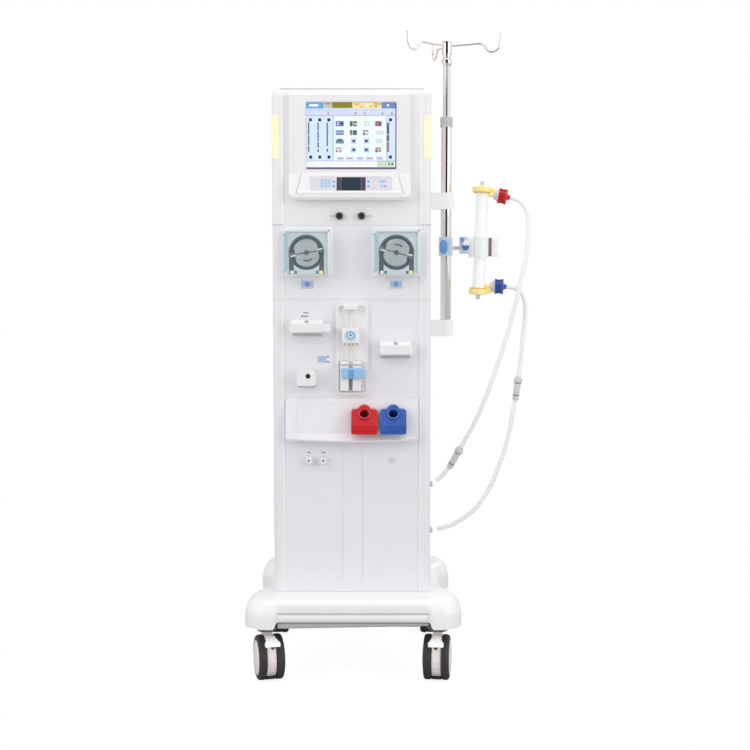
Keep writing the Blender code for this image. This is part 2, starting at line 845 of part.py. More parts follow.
def right_side_fittings(cover):
    """The two dialysis-fluid fittings that the hoses push into."""
    for height in (RED_PORT_HEIGHT, BLUE_PORT_HEIGHT):
        profile = [
            (0, -0.004),
            (FITTING_RADIUS, -0.004),
            (FITTING_RADIUS, 0.004),
            (FITTING_RADIUS - 0.002, 0.006),
            (FITTING_RADIUS - 0.002, FITTING_REACH),
            (0, FITTING_REACH),
        ]
        fuse(cover, turned(profile, (HALF, POLE_Y, height), (1, 0, 0), 12))


def rear_cover():
    """Louvred back with the water inlet, the drain and the mains inlet below."""
    half = HALF - SIDE_RETURN - GAP
    low = DECK_HEIGHT + GAP
    panel = node(
        "rear_cover",
        block((-half, half), (COLUMN_DEPTH - WALL, COLUMN_DEPTH), (low, HEAD_FLOOR - GAP)),
        WHITE,
    )
    for column in (-1, 1):
        for row in range(7):
            centre = column * 0.075
            height = 0.660 + row * 0.040
            slot = rectangle(centre - 0.055, centre + 0.055, height, height + 0.010, 0.0035, 1)
            cut(panel, prism(slot, COLUMN_DEPTH - WALL - OVER, COLUMN_DEPTH + OVER, "Y"))
    rim = rectangle(-0.105, 0.105, 0.270, 0.400, 0.008)
    fuse(panel, prism(rim, COLUMN_DEPTH - 0.001, COLUMN_DEPTH + 0.004, "Y"))
    for x in (-0.070, -0.020):
        profile = [
            (0, -0.002),
            (0.012, -0.002),
            (0.012, 0.010),
            (0.008, 0.012),
            (0.008, 0.024),
            (0, 0.024),
        ]
        fuse(panel, turned(profile, (x, COLUMN_DEPTH, 0.335), (0, 1, 0), 12))
    inlet = rectangle(0.030, 0.086, 0.312, 0.360, 0.004)
    fuse(panel, prism(inlet, COLUMN_DEPTH, COLUMN_DEPTH + 0.008, "Y"))
    cut(
        panel,
        prism(
            rectangle(0.042, 0.074, 0.322, 0.350, 0.004),
            COLUMN_DEPTH - 0.001,
            COLUMN_DEPTH + 0.02,
            "Y",
        ),
    )


def lamp_outline(side, proud, clear):
    """Plan of a lamp: an angle strip round the head's corner, or the pocket that takes it."""
    thick = LAMP_THICK - clear
    width = LAMP_WIDTH - clear
    corners = [
        (side * (HALF + proud), -proud, CORNER + proud),
        (side * (HALF + proud), width, 0),
        (side * (HALF - thick), width, 0),
        (side * (HALF - thick), thick, CORNER - thick),
        (side * (HALF - width), thick, 0),
        (side * (HALF - width), -proud, 0),
    ]
    return fillet(corners, 0, 5)


def head_cover():
    """Head shell, closed at the top and the back, open below."""
    outside = front_corners() + [(HALF, COLUMN_DEPTH, CORNER), (-HALF, COLUMN_DEPTH, CORNER)]
    plan = fillet(outside, 0)
    steps = 3
    rings = [lift(plan, HEAD_FLOOR + GAP / 2)]
    for step in range(steps + 1):
        angle = math.pi / 2 * step / steps
        away = HEAD_ROUND * (1 - math.cos(angle))
        rings.append(lift(inset(plan, away), COLUMN_TOP - HEAD_ROUND * (1 - math.sin(angle))))
    head = node("head_cover", loft(rings), WHITE)
    hollow = rectangle(-INNER_HALF, INNER_HALF, FRONT_BACK, COLUMN_DEPTH - WALL, WALL)
    cut(head, prism(hollow, HEAD_FLOOR - OVER, COLUMN_TOP - HEAD_ROUND))
    for side in (-1, 1):
        cut(head, prism(lamp_outline(side, OVER, 0.0), LAMP_LOW, LAMP_TOP))
    for x in PRESSURE_X:
        cut(
            head,
            rod(
                (x, 0, PRESSURE_HEIGHT),
                (0, 1, 0),
                -OVER,
                FRONT_BACK + OVER,
                PRESSURE_RADIUS + GAP,
                12,
            ),
        )


def lamps():
    """Alarm lamps: translucent strips let into the head's front corners."""
    for name, side in (("alarm_lamp_left", -1), ("alarm_lamp_right", 1)):
        node(name, prism(lamp_outline(side, 0.0, GAP), LAMP_LOW + GAP, LAMP_TOP - GAP), LAMP)


def bezel_and_screen():
    """Screen surround whose chin slopes forward to the keys, and the screen in its pocket."""
    back = FIELD - GAP
    side_view = [
        (back, BEZEL_TOP),
        (-BEZEL_PROUD + 0.003, BEZEL_TOP),
        (-BEZEL_PROUD, BEZEL_TOP - 0.004),
        (-BEZEL_PROUD, CHIN_TOP),
        (-CHIN_PROUD, CHIN_LOW),
        (-CHIN_PROUD, CHIN_LOW - 0.006),
        (-CHIN_PROUD + 0.006, BEZEL_LOW),
        (back, BEZEL_LOW),
    ]
    front_view = [
        (BEZEL_LEFT, BEZEL_LOW, 0.020),
        (BEZEL_RIGHT, BEZEL_LOW, 0.020),
        (BEZEL_RIGHT - 0.002, BEZEL_TOP, 0.004),
        (BEZEL_LEFT + 0.002, BEZEL_TOP, 0.004),
    ]
    bezel = node(
        "screen_bezel",
        prism(side_view, BEZEL_LEFT - OVER, BEZEL_RIGHT + OVER, "X"),
        WHITE,
    )
    guide(bezel, prism(fillet(front_view, 0, 6), -0.060, 0.030, "Y"), "INTERSECT")
    window = (SCREEN_LEFT - 0.001, SCREEN_RIGHT + 0.001)
    heights = (SCREEN_LOW - 0.001, SCREEN_TOP + 0.001)
    recess = -BEZEL_PROUD + 0.003
    cut(bezel, block(window, (-0.060, recess + SCREEN_DEPTH), heights))
    key_low, key_high = 1.169, 1.205
    slope = (CHIN_PROUD - BEZEL_PROUD) / (CHIN_TOP - CHIN_LOW)
    key_cut = [
        (-BEZEL_PROUD - slope * (CHIN_TOP - key_high) + 0.0012, key_high),
        (-BEZEL_PROUD - slope * (CHIN_TOP - key_low) + 0.0012, key_low),
        (-0.060, key_low),
        (-0.060, key_high),
    ]
    cut(bezel, prism(key_cut, -0.098, 0.097, "X"))
    node(
        "touch_screen",
        block(
            (window[0] + GAP, window[1] - GAP),
            (recess, recess + SCREEN_DEPTH - GAP),
            (heights[0] + GAP, heights[1] - GAP),
        ),
        GLASS,
    )


def pressure_ports():
    """Pressure transducer block behind the head's front, with two ports through it."""
    z = PRESSURE_HEIGHT
    ports = node(
        "pressure_ports",
        block(
            (PRESSURE_X[0] - 0.014, PRESSURE_X[1] + 0.014),
            (FRONT_BACK + GAP, 0.030),
            (z - 0.014, z + 0.014),
        ),
        DARK,
    )
    for x in PRESSURE_X:
        profile = [
            (0, 0.012),
            (PRESSURE_RADIUS, 0.012),
            (PRESSURE_RADIUS, -PRESSURE_PROUD + 0.001),
            (PRESSURE_RADIUS - 0.001, -PRESSURE_PROUD),
            (0.004, -PRESSURE_PROUD),
            (0.0035, -PRESSURE_PROUD + 0.006),
            (0, -PRESSURE_PROUD + 0.006),
        ]
        fuse(ports, turned(profile, (x, 0, z), (0, 1, 0), 12))


def pump(side_name, x, angle):
    """Roller pump: housing with its gear motor, rotor, and clear cover on a hinge."""
    z = PUMP_HEIGHT
    front = -PUMP_PROUD
    half_width = PUMP_WIDTH / 2
    half_tall = PUMP_TALL / 2
    race = -PUMP_PROUD + RACE_DEPTH
    outline = rectangle(x - half_width, x + half_width, z - half_tall, z + half_tall, 0.006)
    housing = node(f"pump_{side_name}_housing", prism(outline, front, FIELD - GAP, "Y"), TEAL)
    fuse(
        housing,
        rod((x, 0, z), (0, 1, 0), FIELD - 0.001, MOTOR_BACK, MOTOR_RADIUS, 20),
        rod((x, 0, z), (0, 1, 0), MOTOR_BACK - 0.001, MOTOR_BACK + 0.012, MOTOR_RADIUS - 0.008),
    )
    leg_inner = RACE_RADIUS - LEG_WIDTH
    drop = math.degrees(math.acos(leg_inner / RACE_RADIUS))
    foot = z - half_tall - OVER
    track = arc((x, z), RACE_RADIUS, 0, 180, 16)
    track += [(x - RACE_RADIUS, foot), (x - leg_inner, foot)]
    track += arc((x, z), RACE_RADIUS, 180 + drop, 360 - drop, 8)
    track += [(x + leg_inner, foot), (x + RACE_RADIUS, foot)]
    cut(housing, prism(track, front - OVER, race, "Y"))
    cut(housing, rod((x, 0, z), (0, 1, 0), race - OVER, race + 0.012, SHAFT_RADIUS + RUN, 16))

    disc = []
    for step in range(24):
        turn = 2 * math.pi * step / 24
        across = ROTOR_RADIUS * math.cos(turn)
        disc.append((max(-ROTOR_FLAT, min(ROTOR_FLAT, across)), ROTOR_RADIUS * math.sin(turn)))
    rotor_front = front + 0.004
    axis = empty(f"pump_{side_name}_axis", (x, rotor_front, z), (0, -angle, 0))
    rotor = node(f"pump_{side_name}_rotor", prism(disc, 0, ROTOR_THICK, "Y"), ROTOR, parent=axis)
    shaft_end = race + 0.011 - rotor_front
    fuse(
        rotor,
        rod((0, 0, 0), (0, 1, 0), ROTOR_THICK - 0.001, shaft_end, SHAFT_RADIUS, 16),
        rod((0, 0, 0), (0, 1, 0), -0.002, 0.001, SHAFT_RADIUS, 16),
    )
    for way in (-1, 1):
        tip = way * (RACE_RADIUS - ROLLER_RADIUS - 0.0015)
        fuse(
            rotor,
            rod((tip, 0, 0), (0, 1, 0), 0.001, ROTOR_THICK, ROLLER_RADIUS, 14),
            block(sorted((way * (ROTOR_FLAT - 0.004), tip)), (0.002, 0.006), (-0.004, 0.004)),
        )
    crescent = arc((0, -0.002), 0.016, 235, 305, 6) + arc((0, -0.002), 0.012, 300, 240, 6)
    cut(rotor, prism(crescent, -OVER, 0.003, "Y"))

    cover_back = front - RUN
    hinge_x = x - half_width - COVER_REACH
    hinge_y = cover_back - COVER_THICK / 2
    reach = half_width + COVER_REACH
    rise = half_tall + COVER_REACH
    face = [
        (x - reach + 0.004, z - rise),
        (x + reach, z - rise, 0.006),
        (x + reach, z + rise, 0.006),
        (x - reach + 0.010, z + rise, 0.003),
        (x - reach + 0.010, z + rise - 0.012),
        (x - reach + 0.004, z + rise - 0.012),
    ]
    cover = node(
        f"pump_{side_name}_cover",
        prism(fillet(face, 0), cover_back - COVER_THICK, cover_back, "Y"),
        CLEAR,
        (hinge_x, hinge_y, z),
    )
    fuse(
        cover,
        rod((hinge_x, hinge_y, z), (0, 0, 1), -HINGE_TALL / 2, HINGE_TALL / 2, HINGE_RADIUS, 12),
        block(
            (hinge_x, x - reach + 0.006),
            (cover_back - COVER_THICK + 0.0005, cover_back - 0.0005),
            (z - HINGE_TALL / 2 + 0.001, z + HINGE_TALL / 2 - 0.001),
        ),
        block(
            (x + reach - 0.012, x + reach - 0.004),
            (cover_back - 0.008, cover_back - 0.001),
            (z - 0.016, z + 0.016),
            0.001,
            1,
        ),
    )
    for way in (-1, 1):
        ends = sorted((z + way * (HINGE_TALL / 2 + RUN), z + way * (HINGE_TALL / 2 + 0.006)))
        fuse(
            housing,
            block((hinge_x - 0.003, x - half_width + 0.004), (front, front + 0.006), ends),
            block((hinge_x - 0.003, hinge_x + 0.0025), (hinge_y - 0.0025, front + 0.003), ends),
        )


def pumps():
    holes = []
    for x in (-PUMP_X, PUMP_X):
        holes.append(
            rod((x, 0, PUMP_HEIGHT), (0, 1, 0), -OVER, FRONT_BACK + OVER, MOTOR_RADIUS + GAP, 20),
        )
    front_panel("pump_panel", PUMP_FLOOR, HEAD_FLOOR, holes)
    pump("left", -PUMP_X, LEFT_ROTOR_ANGLE)
    pump("right", PUMP_X, RIGHT_ROTOR_ANGLE)


def syringe_pump():
    """Tray let into the module panel, with rod, carriage, release button, seat and clamp."""
    left = TRAY_X - TRAY_WIDTH / 2
    right = TRAY_X + TRAY_WIDTH / 2
    lip_back = FIELD - GAP
    tray = node(
        "syringe_housing",
        prism(rectangle(left, right, TRAY_LOW, TRAY_TOP, 0.008), -0.003, lip_back, "Y"),
        WHITE,
    )
    body = rectangle(
        left + TRAY_LIP,
        right - TRAY_LIP,
        TRAY_LOW + TRAY_LIP,
        TRAY_TOP - TRAY_LIP,
        0.006,
    )
    fuse(tray, prism(body, 0.001, TRAY_DEPTH, "Y"))
    well = rectangle(
        left + 0.0065, right - 0.0065, TRAY_LOW + 0.0065, TRAY_TOP - 0.0065, 0.005
    )
    cut(tray, prism(well, -0.010, TRAY_DEPTH - 0.003, "Y"))
    block_left = ROD_X - 0.0175
    seat_left = ROD_X - SEAT_WIDTH / 2
    floor = TRAY_DEPTH - 0.004
    fuse(
        tray,
        block(
            (block_left, block_left + 0.035),
            (-0.014, floor),
            (TRAY_TOP - 0.0175, TRAY_TOP - 0.005),
            0.002,
            1,
        ),
        rod((ROD_X, ROD_Y, 0), (0, 0, 1), SEAT_TOP - 0.004, TRAY_TOP - 0.0155, ROD_RADIUS, 16),
        block((seat_left, seat_left + SEAT_WIDTH), (-0.020, floor), (SEAT_LOW, SEAT_TOP), 0.003),
    )
    barrel = [
        (ROD_X - 0.006, -0.030),
        (ROD_X + 0.006, -0.030),
        (ROD_X + 0.004, -0.009),
        (ROD_X - 0.004, -0.009),
    ]
    cut(tray, prism(barrel, SEAT_LOW - 0.002, SEAT_TOP + OVER))
    cut(
        tray,
        block(
            (seat_left - 0.002, seat_left + SEAT_WIDTH + 0.002),
            (-0.030, -0.010),
            (SEAT_TOP - 0.010, SEAT_TOP - 0.007),
        ),
    )
    pin_x = ROD_X + 0.017
    pin_z = CLAMP_LOW + CLAMP_TALL / 2
    cut(tray, rod((pin_x, 0, pin_z), (0, 1, 0), -0.030, 0.012, 0.003 + RUN, 12))

    low, high = CARRIAGE_LOW, CARRIAGE_LOW + CARRIAGE_TALL
    carriage = node(
        "syringe_carriage",
        block(
            (ROD_X - CARRIAGE_WIDTH / 2, ROD_X + CARRIAGE_WIDTH / 2),
            (-0.026, 0.014),
            (low, high),
            0.004,
        ),
        WHITE,
        (ROD_X, ROD_Y, low),
    )
    button_z = low + CARRIAGE_TALL * 0.55
    cut(
        carriage,
        rod((ROD_X, ROD_Y, 0), (0, 0, 1), low - OVER, high + OVER, ROD_RADIUS + RUN, 16),
        rod((ROD_X, 0, button_z), (0, 1, 0), -0.030, -0.018, BUTTON_RADIUS + RUN, 20),
        rod((ROD_X, 0, button_z), (0, 1, 0), -0.019, -0.0075, 0.003 + RUN, 12),
    )
    button = [
        (0, -0.0115),
        (0.003, -0.0115),
        (0.003, -0.0215),
        (BUTTON_RADIUS, -0.0215),
        (BUTTON_RADIUS, -0.026 - BUTTON_PROUD + 0.001),
        (BUTTON_RADIUS - 0.001, -0.026 - BUTTON_PROUD),
        (0.006, -0.026 - BUTTON_PROUD),
        (0.004, -0.026 - BUTTON_PROUD + 0.0008),
        (0, -0.026 - BUTTON_PROUD + 0.0008),
    ]
    node(
        "syringe_release_button",
        turned(button, (ROD_X, 0, button_z), (0, 1, 0), 16),
        PALE_BLUE,
        (ROD_X, 0, button_z),
    )

    bar_left = ROD_X + 0.007 - CLAMP_WIDTH / 2
    bar_back = -0.020 - GAP
    bar = node(
        "syringe_clamp",
        block(
            (bar_left, bar_left + CLAMP_WIDTH),
            (bar_back - CLAMP_THICK, bar_back),
            (CLAMP_LOW, CLAMP_LOW + CLAMP_TALL),
            0.004,
        ),
        PALE_BLUE,
        (pin_x, bar_back, pin_z),
    )
    fuse(bar, rod((pin_x, 0, pin_z), (0, 1, 0), bar_back - 0.002, 0.010, 0.003, 12))


def line_block(name, left, right, low, high, hinge_side, tab):
    """Block that a blood line is pressed into, and the door that shuts over the line."""
    back = FIELD - GAP
    front = -BLOCK_PROUD
    side_view = [
        (back, low),
        (front, low),
        (front, high - 0.007),
        (front + 0.006, high),
        (back, high),
    ]
    body = node(name, prism(side_view, left, right, "X"), WHITE)
    middle = (left + right) / 2
    cut(
        body,
        block(
            (middle - TUBE_SLOT / 2, middle + TUBE_SLOT / 2),
            (front - OVER, front + 0.012),
            (low - OVER, high + OVER),
        ),
    )
    hinge_x = left if hinge_side < 0 else right
    hinge_y = front - RUN - DOOR_THICK / 2
    reach = [hinge_x, right if hinge_side < 0 else left]
    door = node(
        f"{name}_door",
        block(
            sorted(reach),
            (front - RUN - DOOR_THICK, front - RUN),
            (low + 0.001, high - 0.007),
            0.0015,
            1,
        ),
        WHITE,
        (hinge_x, hinge_y, low),
    )
    fuse(door, rod((hinge_x, hinge_y, 0), (0, 0, 1), low + 0.002, high - 0.008, DOOR_HINGE, 12))
    if tab:
        fuse(
            door,
            block(
                (right - 0.004, tab),
                (front - RUN - DOOR_THICK + 0.001, front - RUN),
                (low + 0.002, high - 0.010),
            ),
            block(
                (right + 0.001, tab),
                (front - DOOR_THICK, front + 0.016),
                (low + 0.002, high - 0.010),
                0.002,
                1,
            ),
        )


def optical_detector():
    """Small block with a round eye for the blood line."""
    low = EYE_HEIGHT - EYE_TALL / 2
    outline = rectangle(EYE_X - EYE_WIDTH / 2, EYE_X + EYE_WIDTH / 2, low, low + EYE_TALL, 0.006)
    body = node("optical_detector", prism(outline, -EYE_PROUD, FIELD - GAP, "Y"), WHITE)
    cut(
        body,
        rod(
            (EYE_X + 0.0045, 0, EYE_HEIGHT + 0.004),
            (0, 1, 0),
            -EYE_PROUD - OVER,
            -EYE_PROUD + 0.014,
            EYE_HOLE,
            20,
        ),
    )


def module_panel():
    left = TRAY_X - TRAY_WIDTH / 2 + TRAY_LIP - GAP
    right = TRAY_X + TRAY_WIDTH / 2 - TRAY_LIP + GAP
    opening = rectangle(left, right, TRAY_LOW + TRAY_LIP - GAP, TRAY_TOP - TRAY_LIP + GAP, 0.006)
    front_panel(
        "module_panel",
        MODULE_FLOOR,
        PUMP_FLOOR,
        [prism(opening, -OVER, FRONT_BACK + OVER, "Y")],
    )


def shelf_face(height):
    """Where the concentrate shelf's sloping face lies at a height."""
    return FIELD - 0.006 - SHELF_PROUD * (SHELF_TOP - height) / (SHELF_TOP - SHELF_LOW)


def connector_shelf():
    """Sloping shelf between the strips, with a lip that bulges in the middle."""
    half = FIELD_HALF - FIELD - GAP
    back = FIELD - GAP
    rings = []
    for step in range(-4, 5):
        bulge = SHELF_BULGE * (1 - (step / 4) ** 2)
        low = SHELF_LOW - bulge / 3
        side_view = [
            (back, SHELF_TOP),
            (shelf_face(SHELF_TOP), SHELF_TOP),
            (shelf_face(PORT_LOW - 0.003), PORT_LOW - 0.003),
            (shelf_face(SHELF_LOW + 0.004) - bulge, low + 0.004),
            (shelf_face(SHELF_LOW) + 0.003 - bulge, low),
            (back, SHELF_LOW + 0.010),
        ]
        rings.append([(half * step / 4, y, z) for y, z in side_view])
    shelf = node("connector_shelf", loft(rings), GREY_WHITE)
    label = [
        (shelf_face(0.664) + 0.0008, 0.664),
        (shelf_face(0.600) + 0.0008, 0.600),
        (-0.060, 0.600),
        (-0.060, 0.664),
    ]
    cut(shelf, prism(label, -0.133, -0.005, "X"))


def concentrate_port(name, x, material):
    """Suction-wand port: an arched block with a tilted well."""
    left, right = x - PORT_WIDTH / 2, x + PORT_WIDTH / 2
    shoulder = PORT_LOW + PORT_TALL
    corners = [(left, PORT_LOW, 0.003), (right, PORT_LOW, 0.003), (right, shoulder, 0.006)]
    corners += arc((x, shoulder - 0.006), 0.0165, 24, 156, 10)
    corners += [(left, shoulder, 0.006)]
    outline = fillet(corners, 0, 3)
    nose = shelf_face(PORT_LOW) - PORT_PROUD
    side_view = [
        (shelf_face(PORT_LOW) - GAP, PORT_LOW),
        (nose, PORT_LOW),
        (nose + 0.002, PORT_LOW + 0.020),
        (shelf_face(shoulder) - 0.012, shoulder + 0.014),
        (shelf_face(shoulder + 0.014) - GAP, shoulder + 0.014),
    ]
    port = node(name, prism(side_view, left - OVER, right + OVER, "X"), material)
    guide(port, prism(outline, -0.120, 0.020, "Y"), "INTERSECT")
    axis = Vector((0, -math.sin(PORT_TILT), math.cos(PORT_TILT)))
    mouth = Vector((x, nose + 0.021, PORT_LOW + PORT_MOUTH_RISE))
    ring = [(0, -0.012), (0.0160, -0.012), (0.0155, 0.003), (0.0145, 0.005), (0, 0.005)]
    fuse(port, turned(ring, mouth, axis))
    cut(port, rod(mouth, axis, -0.014, 0.012, PORT_BORE))


def sample_ports():
    """Sampling manifold behind the lower panel, with two white knobs in front."""
    z = SAMPLE_HEIGHT
    ports = node(
        "sample_ports",
        block(
            (SAMPLE_X[0] - 0.012, SAMPLE_X[1] + 0.012),
            (FRONT_BACK + GAP, 0.026),
            (z - 0.012, z + 0.012),
        ),
        WHITE,
    )
    front = FIELD - GAP
    for x in SAMPLE_X:
        profile = [
            (0, 0.012),
            (0.006, 0.012),
            (0.006, front),
            (SAMPLE_RADIUS, front),
            (SAMPLE_RADIUS, front - SAMPLE_PROUD + 0.002),
            (SAMPLE_RADIUS - 0.002, front - SAMPLE_PROUD),
            (0.003, front - SAMPLE_PROUD),
            (0.003, front - SAMPLE_PROUD + 0.008),
            (0, front - SAMPLE_PROUD + 0.008),
        ]
        fuse(ports, turned(profile, (x, 0, z), (0, 1, 0), 12))


def lower_panel():
    cuts = []
    for x in SAMPLE_X:
        hole = 0.006 + GAP
        cuts.append(rod((x, 0, SAMPLE_HEIGHT), (0, 1, 0), -OVER, FRONT_BACK + OVER, hole, 12))
    for x in (-0.022, 0.0255):
        cuts.append(
            block(
                (x - 0.0008, x + 0.0008),
                (-OVER, FIELD + 0.001),
                (DECK_HEIGHT + 0.006, SHELF_LOW),
            ),
        )
    half = FIELD_HALF - FIELD
    cuts.append(block((-half, half), (-OVER, FIELD + 0.001), (0.5022, 0.5038)))
    front_panel("lower_panel", DECK_HEIGHT + GAP, MODULE_FLOOR, cuts)


def bracket_outline(reach):
    """Plan of a bracket: from the mounting plate round the pole."""
    round_end = arc((POLE_X, POLE_Y), reach, -90, 90, 8)
    start = HALF + GAP + PLATE_THICK - 0.001
    return [(start, POLE_Y - reach)] + round_end + [(start, POLE_Y + reach)]


def pole():
    """Mounting plate with its two pole sockets, outer tube, and inner tube with the hooks."""
    start = HALF + GAP
    plate = block(
        (start, start + PLATE_THICK),
        (POLE_Y - PLATE_WIDTH / 2, POLE_Y + PLATE_WIDTH / 2),
        (PLATE_LOW, PLATE_TOP),
        0.0015,
        1,
    )
    bracket = node("pole_bracket", plate, WHITE)
    for low, high in BRACKETS:
        fuse(bracket, prism(bracket_outline(BRACKET_REACH), low, high))
    seat = POLE_LOW - GAP
    cut(
        bracket,
        rod((POLE_X, POLE_Y, 0), (0, 0, 1), seat, PLATE_TOP + OVER, POLE_RADIUS + GAP, 20),
    )
    collar = POLE_COLLAR + COLLAR_TALL
    profile = [
        (POLE_BORE, POLE_LOW),
        (POLE_RADIUS, POLE_LOW),
        (POLE_RADIUS, POLE_COLLAR),
        (POLE_RADIUS + 0.0025, POLE_COLLAR),
        (POLE_RADIUS + 0.0025, collar - 0.002),
        (POLE_RADIUS + 0.0005, collar),
        (POLE_BORE, collar),
    ]
    node("pole_outer_tube", turned(profile, (POLE_X, POLE_Y, 0), sides=20, hollow=True), STEEL)
    ball = [(INNER_RADIUS, BALL_HEIGHT - 0.010)]
    for step in (-60, -30, 0, 30, 60):
        turn = math.radians(step)
        ball.append((BALL_RADIUS * math.cos(turn) ** 0.5, BALL_HEIGHT + 0.0105 * math.sin(turn)))
    ball.append((INNER_RADIUS, BALL_HEIGHT + 0.010))
    hub = INNER_TOP - HUB_TALL
    profile = [(0, INNER_LOW), (INNER_RADIUS, INNER_LOW)] + ball
    profile += [
        (INNER_RADIUS, hub),
        (HUB_RADIUS, hub),
        (HUB_RADIUS, INNER_TOP - 0.003),
        (HUB_RADIUS - 0.0035, INNER_TOP),
        (0, INNER_TOP),
    ]
    shape = turned(profile, (POLE_X, POLE_Y, 0))
    inner = node("pole_inner_tube", shape, STEEL, (POLE_X, POLE_Y, INNER_LOW))
    for third in range(3):
        path = hook_path(HOOK_HEADING + third * math.radians(120))
        fuse(inner, swept(smooth(path, 0.011), HOOK_WIRE, 6))


def hook_path(heading):
    """Middle line of a hook: out from the hub, round the dip and up to the tip."""
    root = INNER_TOP - 0.012
    straight = HOOK_LENGTH - 0.052
    side_view = [(0.004, root), (straight / 2, root + 0.001), (straight, root + 0.002)]
    centre = (HOOK_LENGTH - 0.003 - HOOK_ROUND, HOOK_DIP + HOOK_ROUND)
    side_view += arc(centre, HOOK_ROUND, 195, 339, 8)
    side_view += [(HOOK_LENGTH - 0.0012, HOOK_TIP - 0.0155), (HOOK_LENGTH, HOOK_TIP)]
    path = []
    for reach, height in side_view:
        out = Vector((math.cos(heading), math.sin(heading))) * reach
        path.append((POLE_X + out.x, POLE_Y + out.y, height))
    return path


def dialyser_holder():
    """Clamp on the pole with its rod, its knob, and the clip that grips the dialyser."""
    top = CLAMP_FLOOR + CLAMP_BLOCK_TALL
    outline = rectangle(POLE_X - 0.017, POLE_X + 0.016, POLE_Y - 0.018, POLE_Y + 0.018, 0.006)
    clamp = node(
        "pole_clamp",
        prism(outline, CLAMP_FLOOR, top),
        WHITE,
        (POLE_X, POLE_Y, CLAMP_FLOOR),
    )
    front = POLE_Y - 0.018
    knob_x = POLE_X - 0.0075
    cut(
        clamp,
        rod((POLE_X, POLE_Y, 0), (0, 0, 1), CLAMP_FLOOR - OVER, top + OVER, POLE_RADIUS + RUN, 20),
        rod((knob_x, 0, KNOB_HEIGHT), (0, 1, 0), front - OVER, front + 0.004, 0.003 + RUN, 12),
    )
    fuse(
        clamp,
        rod(
            (0, POLE_Y, HOLDER_HEIGHT),
            (1, 0, 0),
            POLE_X + 0.0145,
            JOINT_LEFT + 0.016,
            ROD_WIRE,
            16,
        ),
    )
    oval = []
    for step in range(20):
        turn = 2 * math.pi * step / 20
        oval.append((knob_x + 0.010 * math.cos(turn), KNOB_HEIGHT + 0.0175 * math.sin(turn)))
    knob = node(
        "pole_clamp_knob",
        prism(oval, front - 0.012, front - 0.002, "Y"),
        BLUE,
        (knob_x, front, KNOB_HEIGHT),
    )
    fuse(knob, rod((knob_x, 0, KNOB_HEIGHT), (0, 1, 0), front - 0.003, front + 0.003, 0.003, 12))

    clip_top = CLIP_LOW + CLIP_TALL
    grip = DIALYSER_RADIUS + CLIP_WALL
    upright = (math.sin(DIALYSER_LEAN), 0, math.cos(DIALYSER_LEAN))
    rise = CLIP_LOW + CLIP_TALL / 2 - HOLDER_HEIGHT
    middle = (DIALYSER_X + rise * math.tan(DIALYSER_LEAN), POLE_Y, HOLDER_HEIGHT + rise)
    clip = node(
        "dialyser_clip",
        block(
            (JOINT_LEFT, JOINT_RIGHT),
            (POLE_Y - 0.013, POLE_Y + 0.013),
            (JOINT_LOW, JOINT_TOP),
            0.002,
            1,
        ),
        PALE_BLUE,
        (JOINT_LEFT, POLE_Y, HOLDER_HEIGHT),
    )
    fuse(
        clip,
        block(
            (JOINT_RIGHT - 0.002, DIALYSER_X - 0.010),
            (POLE_Y - 0.011, POLE_Y + 0.011),
            (CLIP_LOW + 0.004, clip_top - 0.004),
            0.002,
            1,
        ),
        rod(middle, upright, -CLIP_TALL / 2, CLIP_TALL / 2, grip, 20),
        block(
            (DIALYSER_X + 0.010, DIALYSER_X + HANDLE_REACH),
            (POLE_Y - 0.012, POLE_Y + 0.012),
            (CLIP_LOW + 0.002, clip_top - 0.002),
            0.002,
            1,
        ),
    )
    cut(
        clip,
        rod(
            middle,
            upright,
            -CLIP_TALL / 2 - OVER,
            CLIP_TALL / 2 + OVER,
            DIALYSER_RADIUS + GAP,
            20,
        ),
        rod(
            (0, POLE_Y, HOLDER_HEIGHT),
            (1, 0, 0),
            JOINT_LEFT - OVER,
            JOINT_LEFT + 0.0165,
            ROD_WIRE + RUN,
            16,
        ),
        block(
            (DIALYSER_X + grip, DIALYSER_X + grip + 0.008),
            (POLE_Y - 0.014, POLE_Y - 0.002),
            (CLIP_LOW, clip_top),
        ),
    )
    screw = (JOINT_LEFT + 0.014, POLE_Y - 0.013, JOINT_TOP - 0.016)
    profile = [(0, -0.011), (0.006, -0.011), (0.0075, -0.009), (0.0075, 0.001), (0, 0.001)]
    fuse(clip, turned(profile, screw, (0, 1, 0), 16))


